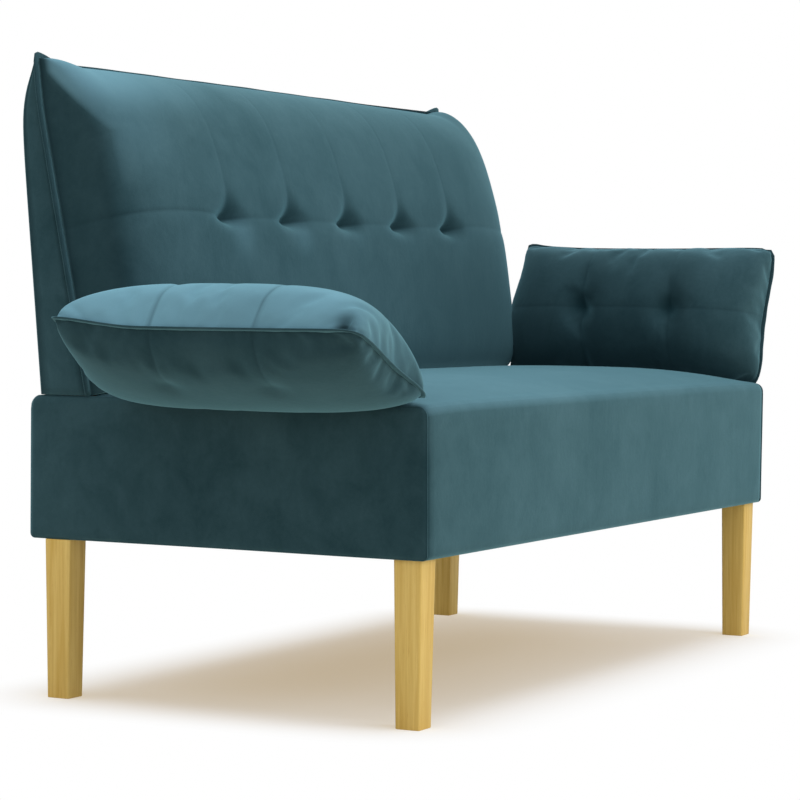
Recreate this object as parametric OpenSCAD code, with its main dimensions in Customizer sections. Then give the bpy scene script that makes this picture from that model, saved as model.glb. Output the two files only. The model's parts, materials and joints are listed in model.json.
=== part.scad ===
// Two-seat dining sofa: an upholstered seat box on tapered oak legs, a tufted backrest
// and two arms that fold outwards on ratchet hinges.
// Origin on the floor under the middle of the seat box, +X to the sitter's left hand as
// seen from the front, the front faces -Y, +Z up. Lengths in millimetres.

/* [Seat box] */
// Width of the seat box over its side panels
box_w = 1320; // [1100:10:1700]
// Depth of the seat box, front to rear
box_d = 670; // [600:5:760]
// Height of the seat box, from its underside to its top seam
box_h = 217; // [200:1:250]
// How far the seat crowns above the top seam
seat_crown = 30; // [10:1:34]
// Radius of the front top edge of the seat
seat_front_r = 16; // [8:1:22]
// Radius of the rear top corners of the side panels
panel_rear_r = 20; // [6:1:24]
// Radius of the lower corners of the side panels
panel_low_r = 8; // [3:1:12]

/* [Legs] */
// Height of the legs
leg_h = 240; // [160:5:300]
// Width of a leg at its top
leg_top = 45; // [40:1:52]
// Width of a leg at the floor
leg_foot = 37; // [28:1:44]
// Bevel along the edges of a leg
leg_bevel = 3; // [1:0.5:6]
// Distance of the front legs from the front of the box
leg_front_set = 12; // [6:1:30]
// Distance of the rear legs from the rear of the box
leg_rear_set = 20; // [6:1:30]
// Diameter of the bolts that hold the legs
leg_bolt_d = 8; // [6:1:10]

/* [Backrest] */
// Height of the backrest's top seam above the seat box, measured along its lean
back_h = 502; // [420:2:560]
// How far the top corners stand up as ears
back_ear = 13; // [0:1:24]
// How far the top corners stand out sideways
back_ear_out = 9; // [0:1:18]
// Lean of the backrest's seam from upright, in degrees
back_rake = 11.7; // [8:0.1:14]
// Distance of the seam's foot from the rear of the box
back_foot = 97; // [94:1:110]
// Crown of the front cushion in front of the seam
back_crown = 130; // [100:1:150]
// Thickness behind the seam at the foot
wedge_foot = 86; // [76:1:88]
// Thickness that the wedge would have at its head, before it closes
wedge_head = 28; // [24:1:40]
// Distance between the vertical seams
tuft_pitch = 192; // [150:2:210]
// Height of the row of tufts above the seat box, measured along the lean
tuft_row = 250; // [200:2:300]
// Depth of a tuft
tuft_depth = 24; // [6:1:32]
// Depth of a sewn seam
seam_depth = 7; // [2:0.5:12]
// How far the welt stands out of the seam
welt_out = 7; // [3:0.5:10]
// Thickness of the welt
welt_t = 3; // [2:0.5:4]

/* [Arms] */
// Distance from the hinge axis to an arm's free edge
arm_reach = 218; // [190:1:240]
// Distance from the hinge axis to the arm's lower edge
arm_root = 18; // [16:0.5:19]
// Distance of the arms from the front of the box
arm_front_set = 7; // [4:1:60]
// How deep the arm's rear end tucks in beside the crown of the backrest
arm_tuck = 46; // [20:1:50]
// Crown of the arm's inner face
arm_crown_in = 105; // [80:1:108]
// Crown of the arm's outer face
arm_crown_out = 60; // [50:1:62]
// Distance between the two rows of tufts on an arm
arm_tuft_pitch = 169; // [120:1:190]
// Depth of an arm's tufts
arm_tuft_depth = 20; // [6:1:24]
// How far the arm's sides are drawn in between the corners
arm_draw = 3; // [0:1:8]
// How far the outline is rounded off beside the hinges
arm_root_round = 10; // [0:1:14]
// How far the free rear corners stand out as ears
arm_ear = 5; // [0:1:14]
// How far the free front corners are drawn in, which rounds them
arm_front_round = 5; // [0:1:10]
// Tilt of the left arm from upright, as shown, in degrees
left_tilt = 68; // [10:1:90]
// Tilt of the right arm from upright, as shown, in degrees
right_tilt = 10; // [10:1:90]

/* [Hinges] */
// Distance of the hinge axis outside the side panel
hinge_out = 10; // [9:0.5:12]
// Height of the hinge axis above the top seam of the box
hinge_up = 21; // [20:0.5:24]
// Distance between the two hinges of an arm
hinge_spread = 250; // [220:5:300]
// Diameter of the hinge pins
pin_d = 8; // [6:0.5:10]
// Radius of the hinge eyes
eye_r = 11; // [9:0.5:12]
// Thickness of a bracket's cheek
cheek_t = 3; // [2:0.5:4]
// Thickness of the toothed leaf
leaf_t = 5; // [4:0.5:6]
// Height of the ratchet teeth
tooth_h = 2.4; // [1.5:0.1:2.6]
// Angle between two ratchet teeth, in degrees
tooth_step = 10; // [8:1:16]
// Width of a bracket's plate and of a leaf's plate
plate_w = 42; // [36:1:50]
// Thickness of the plates
plate_t = 4; // [3:0.5:5]

/* [Frame] */
// Thickness of the seat rails
rail_t = 25; // [20:1:28]
// Height of the seat rails
rail_h = 132; // [110:1:140]
// Side of the square corner posts
post_w = 56; // [52:1:64]
// Width of a backrest post, across the sofa
back_post_w = 30; // [24:1:36]
// Thickness of the backrest rails
back_rail_t = 24; // [18:1:24]
// Height of the backrest rails
back_rail_h = 70; // [50:1:80]
// Width of a webbing strap
strap_w = 60; // [40:1:70]
// Number of lengthwise straps in the seat
seat_straps = 9; // [6:1:11]
// Number of vertical straps in the backrest
back_straps = 7; // [5:1:9]
// Thickness of the arm boards
board_t = 18; // [12:1:20]

/* [Materials] */
// Thickness of the velvet with its backing
cloth_t = 2; // [1:0.1:2.5]
// Thickness of the webbing
strap_t = 2; // [1:0.1:3]
// Diameter of the tuft cords
cord_d = 2.4; // [1.5:0.1:3]
// Gap between pieces that lie against each other
fit = 0.3; // [0.2:0.05:0.5]

/* [Hidden] */
$fn = 32;

// Colours
velvet = [0.20, 0.40, 0.44];
velvet_dark = [0.15, 0.30, 0.34];
oak = [0.80, 0.66, 0.38];
beech = [0.82, 0.70, 0.52];
foam_tint = [0.93, 0.90, 0.80];
jute = [0.55, 0.45, 0.32];
steel = [0.62, 0.63, 0.65];
black = [0.12, 0.12, 0.12];

// Levels and faces of the box
half_w = box_w / 2;
half_d = box_d / 2;
box_low = leg_h + fit;
box_top = leg_h + box_h;
frame_low = box_low + cloth_t + fit;
frame_top = frame_low + rail_h;
frame_x = half_w - cloth_t - fit;
frame_y = half_d - cloth_t - fit;
// The centre rail stays this far below the others, clear of the webbing under load
centre_rail_low = 34;
web_low = frame_top + fit;
cross_low = web_low + strap_t + fit;
foam_low = cross_low + strap_t + fit;
hem = 24;

// Seam plane of the backrest
seam_y = half_d - back_foot;
seam_z = box_top + fit;
seat_rear_y = seam_y - 8;
back_front_n = back_rail_t + 1;
back_straps_n = back_front_n + fit;
back_row_n = back_straps_n + strap_t + fit;
back_foam_n = back_row_n + strap_t + fit;
back_bottom_w = 8;
// How far around a tuft its cord draws the cover in, on the backrest and on the arms
tuft_reach = 34;
arm_tuft_reach = 30;
back_head_drop = 46;
back_head_w = back_h - back_head_drop;
back_inner_x = frame_x - post_w;
back_outer_x = back_inner_x + back_post_w;
// Distances of the tenons' faces from the rear of the box
tenon_in = [74, 28];
tenon_front = half_d - tenon_in[0];
tenon_rear = half_d - tenon_in[1];

// Arms and hinges
axis_x = half_w + hinge_out;
axis_z = box_top + hinge_up;
arm_front_y = -half_d + arm_front_set;
arm_rear_y = seam_y - back_crown + arm_tuck;
arm_mid_y = (arm_front_y + arm_rear_y) / 2;
arm_half = (arm_rear_y - arm_front_y) / 2;
arm_mid_s = (arm_reach - arm_root) / 2;
arm_sides = [-1, 1];
board_low = arm_root - 2;
// How far the board's top and ends stay inside the arm's seams
board_top_in = 30;
board_end_in = 36;
board_top = arm_reach - board_top_in;
board_half = arm_half - board_end_in;
// The open middle of the arm's welt goes this far beyond the board's ends
welt_open = 22;
cheek_y = leaf_t / 2 + fit;
pin_half = cheek_y + cheek_t + 0.5;
slot_half = pin_half + 0.4;
bracket_x = frame_x - rail_t - fit;
bracket_top = box_top - 5;
bracket_rise = 45;
bracket_low = frame_low + bracket_rise;
leaf_face = board_t / 2 + fit;
leaf_plate_low = eye_r + 1;
leaf_plate_h = 74;
leaf_plate_top = board_low + leaf_plate_h;
screw_d = 4.5;
screw_head_d = 9;
screw_head_h = 2.6;
hole_gap = 0.2;

// Where the grid lines of the cushions run
back_u = let (a = tuft_pitch / half_w) concat(
    [-1, -0.99, -0.965, -0.92, -0.84, -0.72],
    [for (k = [-2:1]) each [for (f = [0, 0.12, 0.5, 0.88]) (k + f) * a]],
    [2 * a, 0.72, 0.84, 0.92, 0.965, 0.99, 1]);
back_v = [-1, -0.985, -0.94, -0.8, -0.55, -0.25, -0.09, 0, 0.09, 0.25, 0.5, 0.72, 0.86,
    0.95, 0.985, 1];
rear_u = [1, 0.9975, 0.992, 0.98, 0.95, 0.5, 0, -0.5, -0.95, -0.98, -0.992, -0.9975, -1];
rear_v = [0, 0.16, 0.33, 0.5, 0.66, 0.78, 0.86, 0.92, 0.97, 1];
arm_u = let (a = arm_tuft_pitch / 2 / arm_half)
    [-1, -0.97, -0.82, -0.58, -a, -a / 2, 0, a / 2, a, 0.58, 0.82, 0.97, 1];
arm_v = [-1, -0.93, -0.72, -0.36, 0, 0.36, 0.72, 0.93, 1];
seat_u = [-1, -0.985, -0.94, -0.88, -0.8, -0.6, -0.3, 0, 0.3, 0.6, 0.8, 0.88, 0.94, 0.985,
    1];

// Helpers for soft forms
function mix(a, b, t) = a + (b - a) * t;
function unit(v) = v / norm(v);
// A bulge over -1..1: power p shapes its flanks, power q its rim
function bulge(t, p, q) = pow(max(0, 1 - pow(abs(t), p)), q);
// A valley of width w at distance d from its line
function valley(d, w) = exp(-pow(d / w, 2));
// Direction out of a surface f at (u, v)
function normal_at(f, u, v) = let (e = 0.002)
    unit(cross(f(u + e, v) - f(u - e, v), f(u, v + e) - f(u, v - e)));
function on_rim(t) = abs(t) > 0.9999;
// The grid of a cushion's skin, set in by d; its rim stays in the seam plane
function skin(f, us, vs, d) = [for (v = vs) each [for (u = us)
    (on_rim(u) || on_rim(v))
        ? f(u, v) - d * unit([on_rim(u) ? sign(u) : 0, on_rim(v) ? sign(v) : 0, 0])
        : f(u, v) - d * normal_at(f, u, v)]];

// Faces of a grid with nu points across and nv up, numbered from o, seen from above; the
// cells are halved by diagonals that run out to the nearest corner
function first_half(i, j, nu, nv) = (2 * i < nu - 1) == (2 * j < nv - 1);
function grid_faces(nu, nv, o) = [for (j = [0:nv - 2], i = [0:nu - 2])
    let (a = o + j * nu + i, b = a + 1, c = a + nu, d = c + 1)
    each (first_half(i, j, nu, nv) ? [[a, d, b], [a, c, d]] : [[a, c, b], [b, c, d]])];
// The grid's rim, anticlockwise from above
function rim_loop(nu, nv) = concat([for (i = [0:nu - 2]) i],
    [for (j = [0:nv - 2]) j * nu + nu - 1],
    [for (i = [nu - 1:-1:1]) (nv - 1) * nu + i],
    [for (j = [nv - 1:-1:1]) j * nu]);
function turned(faces) = [for (f = faces) [for (k = [len(f) - 1:-1:0]) f[k]]];

// A sheet of cloth between an outer and an inner grid
module cloth(outer, inner, nu, nv) {
    n = nu * nv;
    rim = rim_loop(nu, nv);
    m = len(rim);
    edge = [for (k = [0:m - 1]) let (a = rim[k], b = rim[(k + 1) % m])
        each [[a, b, b + n], [a, b + n, a + n]]];
    polyhedron(concat(outer, inner),
        concat(grid_faces(nu, nv, 0), turned(grid_faces(nu, nv, n)), edge));
}
// A block of foam under a grid whose rim lies in one plane
module pad(top, nu, nv)
    polyhedron(top, concat(grid_faces(nu, nv, 0), [rim_loop(nu, nv)]));
// A solid through rings of m points each, closed by its first and last ring; its first
// rows of cells are halved as those of a grid with nv rows
module loft(rings, nv) {
    nu = len(rings);
    m = len(rings[0]);
    last = (nu - 1) * m;
    polyhedron([for (r = rings) each r], concat(
        [for (k = [0:nu - 2], i = [0:m - 1])
            let (a = k * m + i, b = k * m + (i + 1) % m)
            each (first_half(nu - 2 - k, i, nu, nv) ? [[a, a + m, b], [a + m, b + m, b]]
                : [[a, b + m, b], [a, a + m, b + m]])],
        [[for (i = [0:m - 1]) i], [for (i = [m - 1:-1:0]) last + i]]));
}
// An outline in the YZ plane, drawn out along X from x0 to x1
module along_x(x0, x1) translate([x0, 0, 0]) rotate([90, 0, 90])
    linear_extrude(x1 - x0) children();
// A cylinder along X from x0 to x1
module bar_x(x0, x1, d) translate([x0, 0, 0]) rotate([0, 90, 0]) cylinder(x1 - x0, d = d);
// Points of an arc about c
function arc(c, r, from, to, n) = [for (k = [0:n])
    c + r * [cos(mix(from, to, k / n)), sin(mix(from, to, k / n))]];
module both_sides() for (s = [0, 1]) mirror([s, 0, 0]) children();
module left_side() mirror([1, 0, 0]) children();

// Legs
leg_x = half_w - leg_top / 2;
bolt_in_leg = 45;
bolt_in_box = 62;
bolt_low = leg_h - bolt_in_leg;
bolt_top = frame_low + bolt_in_box;
nut_h = 7;
function leg_y(front) = front ? leg_front_set + leg_top / 2 - half_d
    : half_d - leg_rear_set - leg_top / 2;
module leg_section(w) polygon(let (a = w / 2, b = w / 2 - leg_bevel)
    [[a, b], [b, a], [-b, a], [-a, b], [-a, -b], [-b, -a], [b, -a], [a, -b]]);
module leg_place(side, front) translate([side * leg_x, leg_y(front), 0]) children();
module leg(side, front) color(oak) leg_place(side, front) difference() {
    hull() {
        linear_extrude(0.01) leg_section(leg_foot);
        translate([0, 0, leg_h - 0.01]) linear_extrude(0.01) leg_section(leg_top);
    }
    translate([0, 0, bolt_low]) cylinder(leg_h, d = leg_bolt_d + hole_gap);
}
module every_leg() for (side = [-1, 1], front = [true, false])
    leg_place(side, front) children();
module leg_bolts() color(steel) every_leg() {
    translate([0, 0, bolt_low + fit]) cylinder(bolt_top - bolt_low, d = leg_bolt_d);
    translate([0, 0, bolt_top - nut_h - 2]) cylinder(nut_h, d = leg_bolt_d * 1.9, $fn = 6);
}

// Seat frame
rail_x = frame_x - post_w - fit;
rail_y = frame_y - post_w - fit;
rail_ease = 0.75 * panel_low_r;
// Section of a rail or post that is t thick and h high, its lower outer edge eased
module rail_section(t, h) polygon([[-frame_y, frame_low + rail_ease],
    [rail_ease - frame_y, frame_low], [t - frame_y, frame_low],
    [t - frame_y, frame_low + h], [-frame_y, frame_low + h]]);
module corner_posts() color(beech) difference() {
    both_sides() for (s = [0, 1]) mirror([0, s, 0])
        along_x(rail_x + fit, frame_x) rail_section(post_w, rail_h);
    every_leg() {
        translate([0, 0, frame_low - 1]) cylinder(rail_h, d = leg_bolt_d + hole_gap);
        translate([0, 0, bolt_top - nut_h - 2 - fit]) cylinder(rail_h, d = leg_bolt_d * 2.2);
    }
    both_sides() strap_bolt_places() bar_x(-1, strap_bolt_len, screw_d + hole_gap);
}
module cross_rail(s) color(beech) mirror([0, s, 0])
    along_x(-rail_x, rail_x) rail_section(rail_t, rail_h);
module side_rail() color(beech) difference() {
    translate([frame_x - rail_t, -rail_y, frame_low]) cube([rail_t, 2 * rail_y, rail_h]);
    bracket_screw_places() bar_x(-1, rail_screw_len, screw_d + hole_gap);
}
module seat_centre_rail() color(beech) translate([-rail_t / 2, rail_t + fit - frame_y,
    frame_low]) cube([rail_t, 2 * (frame_y - rail_t - fit), rail_h - centre_rail_low]);
module seat_webbing() color(jute) for (k = [0:seat_straps - 1])
    translate([(k + 0.5) * 2 * rail_x / seat_straps - rail_x - strap_w / 2, 4 - frame_y,
        web_low]) cube([strap_w, 2 * frame_y - 8, strap_t]);
module seat_cross_webbing() color(jute) for (k = [-0.28, 0.26, 0.86])
    translate([rail_t - frame_x, arm_mid_y + k * hinge_spread - strap_w / 2, cross_low])
        cube([2 * (frame_x - rail_t), strap_w, strap_t]);

// How far behind the backrest's seam the seat's crown runs out
seat_fall = 60;
// Height of the seat's surface at (x, y): crowned, and held down under the backrest
function seat_z(x, y) = let (
    t = y < seat_mid_y ? (y - seat_mid_y) / (seat_mid_y + half_d)
        : (y - seat_mid_y) / (seam_y + seat_fall - seat_mid_y),
    crown = seat_crown * bulge(x / half_w, 10, 0.7) * bulge(t, 3, 1),
    under = (seam_y - y) * tan(back_rake) - 1)
    box_top + min(crown, max(0, under));
seat_mid_y = -0.08 * box_d;
seat_edge_y = seat_front_r - half_d;
// Distances in front of the seat's rear edge at which its section bends
seat_bends = [0, 45, 80, 105, 150];
// Section of the seat's surface at x, set in by d: from the rear, over the front edge
function seat_section(x, d) = concat(
    [for (b = seat_bends) [seat_rear_y - b, seat_z(x, seat_rear_y - b) - d]],
    [[seat_mid_y, seat_z(x, seat_mid_y) - d]],
    [for (t = [0.3, 0.55, 0.75, 0.9]) let (y = mix(seat_mid_y, seat_edge_y, t))
        [y, seat_z(x, y) - d]],
    arc([seat_edge_y, seat_z(x, seat_edge_y) - seat_front_r], seat_front_r - d, 90, 180, 3));
function ring_at(x, points) = [for (p = points) [x, p[0], p[1]]];
function reversed(a) = [for (k = [len(a) - 1:-1:0]) a[k]];
// The lower edge of the front panel, set in by d
function front_hem(d) = [[d - half_d, box_low + panel_low_r],
    [panel_low_r - half_d, box_low + d], [hem - half_d, box_low + d]];
seat_rows = len(seat_section(0, 0)) + len(front_hem(0));
// The grid of the seat's cover, set in by d, from right to left and rear to front
function seat_skin(d) = let (strips = [for (u = seat_u) let (x = -u * frame_x)
        ring_at(x, concat(seat_section(x, d), front_hem(d)))])
    [for (j = [0:seat_rows - 1]) each [for (s = strips) s[j]]];
module seat_foam() color(foam_tint) difference() {
    loft([for (u = seat_u) let (x = u * (frame_x - fit), d = cloth_t + fit)
        ring_at(x, concat(seat_section(x, d),
            [[d - half_d, foam_low], [seat_rear_y, foam_low]]))], seat_rows);
    both_sides() bracket_room();
}
module seat_cover() color(velvet) difference() {
    cloth(seat_skin(0), seat_skin(cloth_t), len(seat_u), seat_rows);
    both_sides() bracket_room();
}
// A side panel's outline, with its rounded corners
module panel_outline() polygon(concat(
    arc([half_d - panel_low_r, box_low + panel_low_r], panel_low_r, -90, 0, 4),
    arc([half_d - panel_rear_r, box_top - panel_rear_r], panel_rear_r, 0, 90, 6),
    arc([seat_front_r - half_d, box_top - seat_front_r], seat_front_r, 90, 180, 6),
    arc([panel_low_r - half_d, box_low + panel_low_r], panel_low_r, 180, 270, 4)));
module side_panel() color(velvet_dark) difference() {
    along_x(frame_x + fit, half_w) panel_outline();
    stem_room(frame_x, stem_low(-hinge_out - cloth_t - fit) - 1);
}
module seat_rear_panel() color(velvet_dark) along_x(-frame_x, frame_x) polygon(concat(
    rear_turn(0), reversed(rear_turn(cloth_t))));
function rear_turn(d) = concat([[half_d - hem, box_low + d]],
    arc([half_d - panel_low_r, box_low + panel_low_r], panel_low_r - d, -90, 0, 4),
    arc([half_d - panel_rear_r, box_top - panel_rear_r], panel_rear_r - d, 0, 90, 6),
    [[half_d - hem, box_top - d]]);
module dust_cloth() color(black) difference() {
    translate([-frame_x, hem + fit - half_d, box_low])
        cube([2 * frame_x, 2 * (half_d - hem - fit), cloth_t]);
    every_leg() translate([0, 0, box_low - 1]) cylinder(20, d = leg_bolt_d + 1);
}

// Backrest: the leaning frame has its origin at the seam's foot, w up, n forwards
module leaning() translate([0, seam_y, seam_z]) rotate([-back_rake, 0, 0]) children();
module lean_block(x0, x1, w0, w1, n0, n1)
    leaning() translate([x0, -n1, w0]) cube([x1 - x0, n1 - n0, w1 - w0]);
function lean_yz(w, n) = [seam_y + w * sin(back_rake) - n * cos(back_rake),
    seam_z + w * cos(back_rake) + n * sin(back_rake)];
function back_half(v) = half_w + back_ear_out * pow(max(0, v), 8);
function back_top(u) = back_h + back_ear * pow(abs(u), 10);
function back_w(u, v) = v < 0 ? tuft_row * (1 + v) : mix(tuft_row, back_top(u), v);
// How far seams and tufts draw the cover in, at x across and w up
function back_quilt(x, w) = let (
    k = max(-2, min(2, round(x / tuft_pitch))),
    dx = x - k * tuft_pitch,
    dw = w - tuft_row,
    upper = dw > 0 ? 1 : 0.45)
    seam_depth * max(upper * valley(dx, 16), valley(dw, 16))
        + (tuft_depth - seam_depth) * valley(norm([dx, dw]), tuft_reach);
function back_front(u, v) = let (
    x = u * back_half(v),
    w = back_w(u, v),
    full = bulge(u, 8, 1 / 8) * (v < 0 ? bulge(v, 6, 1 / 6) : bulge(v, 2.7, 1 / 2.7)))
    [x, w, welt_t / 2 + fit + full * (back_crown - back_quilt(x, w))];
function back_skin(d) = skin(function(u, v) back_front(u, v), back_u, back_v, d);
back_tuft_n = back_front(0, 0)[2] - cloth_t - fit;
// Power that keeps the gussets' sides square to the rear cover
gusset_square = 400;
// Thickness of the wedge behind the seam at the share t of its height
function wedge(t) = mix(wedge_foot, wedge_head, t) * pow(1 - pow(t, 14), 1.4);
function rear_point(u, v, d) = let (
    x = u * (back_half(v) - d),
    w = v * back_top(u) - (v > 0.99 ? d : 0),
    seam = lean_yz(w, -welt_t / 2 - fit))
    [x, seam[0] + max(0, wedge(v) - d) * bulge(u, gusset_square, 1 / 4), max(seam[1], seam_z)];
module back_post() color(beech) difference() {
    along_x(back_inner_x, back_outer_x) polygon(concat(
        [[tenon_front, frame_top + fit], [tenon_rear, frame_top + fit],
            [tenon_rear, seam_z + fit]],
        [for (t = [0:0.1:0.9]) let (w = t * back_h, p = lean_yz(w, 0))
            [p[0] + 0.88 * wedge(t) - cloth_t - 1, max(p[1], seam_z + fit)]],
        [lean_yz(back_head_w, 0), lean_yz(back_head_w, back_front_n),
            lean_yz(back_bottom_w, back_front_n)],
        [[tenon_front, lean_yz(back_bottom_w, back_front_n)[1]]]));
    strap_bolt_places() bar_x(-1, strap_bolt_len, screw_d + hole_gap);
}
module back_rail(w, h, n, t) color(beech)
    lean_block(fit - back_inner_x, back_inner_x - fit, w, w + h, n - t, n);
module back_webbing() color(jute) {
    for (k = [0:back_straps - 1])
        let (x = (k + 0.5) * 2 * back_inner_x / back_straps - back_inner_x)
        lean_block(x - strap_w / 2, x + strap_w / 2, back_bottom_w, back_head_w,
            back_straps_n, back_straps_n + strap_t);
    lean_block(-back_outer_x, back_outer_x, tuft_row - strap_w / 2, tuft_row + strap_w / 2,
        back_row_n, back_row_n + strap_t);
}
module back_tufts() leaning() for (k = [-2:2])
    translate([k * tuft_pitch, 0, tuft_row]) rotate([90, 0, 0]) children();
module back_foam() color(foam_tint) difference() {
    leaning() rotate([90, 0, 0]) pad(back_skin(cloth_t + fit), len(back_u), len(back_v));
    lean_block(-back_outer_x - fit, back_outer_x + fit, -box_h, back_head_w + fit,
        -back_crown, back_foam_n);
    back_tufts() cylinder(back_crown * 2, d = cord_d + fit);
}
module back_front_cover() color(velvet) leaning() rotate([90, 0, 0])
    cloth(back_skin(0), back_skin(cloth_t), len(back_u), len(back_v));
module back_rear_cover() color(velvet_dark) cloth(
    [for (v = rear_v) each [for (u = rear_u) rear_point(u, v, 0)]],
    [for (v = rear_v) each [for (u = rear_u) rear_point(u, v, cloth_t)]],
    len(rear_u), len(rear_v));
// Half of the seam's outline, o outside the covers, from its foot to the middle of the top
function back_rim(o) = concat(
    [for (t = [-1, 0, 0.5, 0.7, 0.8, 0.88, 0.94]) [back_half(t) + o, back_w(1, t)]],
    [for (u = [1, 0.97, 0.93, 0.88, 0.8, 0.7, 0.5]) [u * (back_half(1) + o),
        back_top(u) + o]]);
function mirrored(a) = [for (p = reversed(a)) [-p[0], p[1]]];
module back_welt() color(velvet_dark) leaning() rotate([90, 0, 0]) difference() {
    linear_extrude(welt_t, center = true) polygon(
        concat(back_rim(welt_out), mirrored(back_rim(welt_out))));
    linear_extrude(2 * welt_t, center = true) polygon(concat([[back_half(0) - 8, -1]],
        back_rim(-8), mirrored(back_rim(-8)), [[8 - back_half(0), -1]]));
}
module back_tuft_cords() color(black) back_tufts()
    translate([0, 0, back_row_n + strap_t + fit])
        cylinder(back_tuft_n - back_row_n - strap_t - fit, d = cord_d);

// Steel straps that tie the backrest posts to the corner posts, on their inner faces
strap_bolt_len = 22;
strap_steel_w = 26;
strap_mid_y = (frame_y - post_w + tenon_rear) / 2;
strap_rise = 60;
strap_low = frame_low + strap_rise;
strap_high = box_top - 8;
module strap_bolt_places() for (z = [strap_low + 14, frame_top - 14, frame_top + 20,
    strap_high - 12]) translate([back_inner_x, strap_mid_y, z]) children();
module back_steel_straps() color(steel) both_sides() difference() {
    translate([back_inner_x - fit - plate_t, strap_mid_y - strap_steel_w / 2, strap_low])
        cube([plate_t, strap_steel_w, strap_high - strap_low]);
    strap_bolt_places() bar_x(-20, 20, screw_d + hole_gap);
}
// A bolt or screw along X: its head ends at x = 0 against a plate, its shank runs on
module screw_x(len, plate) {
    bar_x(-plate - 2 * fit - screw_head_h, -plate - 2 * fit, screw_head_d);
    bar_x(-plate - 2 * fit - 0.1, len, screw_d);
}
module back_strap_bolts() color(steel) both_sides()
    strap_bolt_places() screw_x(strap_bolt_len - 2, plate_t);

// Hinges on the right side; the left side mirrors them
module at_hinges() for (s = [-1, 1]) translate([0, s * hinge_spread / 2, 0]) children();
module right_hinges() translate([axis_x, arm_mid_y, axis_z]) at_hinges() children();
// A flat plate in the XZ plane, thick along Y and centred there
module upright_plate(t) rotate([90, 0, 0]) linear_extrude(t, center = true) children();
module axis_bore(d) rotate([90, 0, 0]) cylinder(4 * slot_half, d = d, center = true);
rail_screw_len = 18;
plate_face = bracket_x - axis_x;
plate_top = bracket_top - axis_z;
stem_dir = unit([plate_face, plate_top - 13]);
stem_side = eye_r * [-stem_dir[1], stem_dir[0]];
stem_h = 30;
// Height of the stem's lower edge at the distance x from the axis
function stem_low(x) = axis_z + mix(stem_side[1], plate_top - stem_h,
    (x - stem_side[0]) / (plate_face - stem_side[0]));
module stem_room(x, low) translate([x, arm_mid_y, low]) at_hinges()
    translate([0, -slot_half, 0]) cube([axis_x, 2 * slot_half, box_h]);
module bracket_room() {
    stem_room(bracket_x - plate_t - fit, stem_low(plate_face) - 1);
    translate([bracket_x - plate_t - screw_head_h - 3 * fit, arm_mid_y, bracket_low])
        at_hinges() translate([0, -plate_w / 2 - fit, 0])
            cube([plate_t + screw_head_h + 4 * fit, plate_w + 2 * fit,
                bracket_top + fit - bracket_low]);
}
module bracket_screw_places() translate([bracket_x + fit, arm_mid_y, 0]) at_hinges()
    for (y = [-1, 1], z = [bracket_low + 14, frame_top - 16])
        translate([0, y * (plate_w / 2 - 9), z]) children();
module hinge_brackets() color(steel) difference() {
    right_hinges() {
        for (s = [-1, 1]) translate([0, s * (cheek_y + cheek_t / 2), 0])
            upright_plate(cheek_t) {
                circle(eye_r);
                polygon([-stem_side, [plate_face, plate_top],
                    [plate_face, plate_top - stem_h], stem_side]);
            }
        translate([plate_face - plate_t, -plate_w / 2, bracket_low - axis_z])
            cube([plate_t, plate_w, bracket_top - bracket_low]);
    }
    right_hinges() axis_bore(pin_d + 0.1);
    bracket_screw_places() bar_x(-20, 5, screw_d + hole_gap);
}
module bracket_screws() color(steel) bracket_screw_places()
    screw_x(rail_screw_len - 2, plate_t);
module hinge_pins() color(steel) right_hinges()
    rotate([90, 0, 0]) cylinder(2 * pin_half, d = pin_d, center = true);
// A leaf spring between the cheeks, its nose just clear of the teeth
nose_r = 1.6;
nose_at = eye_r + tooth_h + nose_r + fit;
module detent_springs() color(steel) right_hinges() upright_plate(leaf_t - 0.4) {
    translate(nose_at * stem_dir) circle(nose_r);
    rotate(atan2(stem_dir[1], stem_dir[0])) translate([nose_at, -0.9])
        square([norm([plate_face, plate_top - 13]) - nose_at - 1, 1.8]);
}

// Arms: in an arm's own frame the hinge axis is Y, x is outwards and z runs up to the
// free edge
module arm_place(tilt) translate([axis_x, arm_mid_y, axis_z]) rotate([0, tilt, 0])
    children();
function arm_quilt(a, b, deep) = let (
    da = abs(a) - arm_tuft_pitch / 2,
    db = b - arm_mid_s)
    seam_depth * max(valley(da, 18), valley(db, 18))
        + (deep - seam_depth) * valley(norm([da, db]), arm_tuft_reach);
function arm_corner(rear) = rear ? arm_ear : -arm_front_round;
function arm_side(v, rear) = arm_half - arm_draw * (1 - v * v)
    + (v > 0 ? arm_corner(rear) * pow(v, 10) : -arm_root_round * pow(v, 6));
function arm_high(u, rear) = arm_reach - arm_draw * (1 - u * u)
    + arm_corner(rear) * pow(abs(u), 12);
function arm_b(u, v, rear) = v < 0 ? arm_mid_s + v * (arm_mid_s + arm_root)
    : mix(arm_mid_s, arm_high(u, rear), v);
// A point of an arm's face; its rear end is where u has the sign of back
function arm_face(u, v, crown, deep, back) = let (
    rear = u * back > 0,
    a = u * arm_side(v, rear),
    b = arm_b(u, v, rear),
    full = bulge(u, 3, 1 / 3) * bulge(v, 2, v < 0 ? 0.62 : 0.45))
    [a, b, welt_t / 2 + fit + full * (crown - arm_quilt(a, b, deep))];
inner_deep = arm_tuft_depth;
outer_deep = 0.7 * arm_tuft_depth;
function inner_skin(d) = skin(function(u, v) arm_face(u, v, arm_crown_in, inner_deep, -1),
    arm_u, arm_v, d);
function outer_skin(d) = skin(function(u, v) arm_face(u, v, arm_crown_out, outer_deep, 1),
    arm_u, arm_v, d);
module face_in() rotate([90, 0, -90]) children();
module face_out() rotate([90, 0, 90]) children();
// Reach of a hinge slot inwards, outwards and below the arm's lower edge
slot_in = 36;
slot_out = 30;
slot_low = 12;
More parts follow.
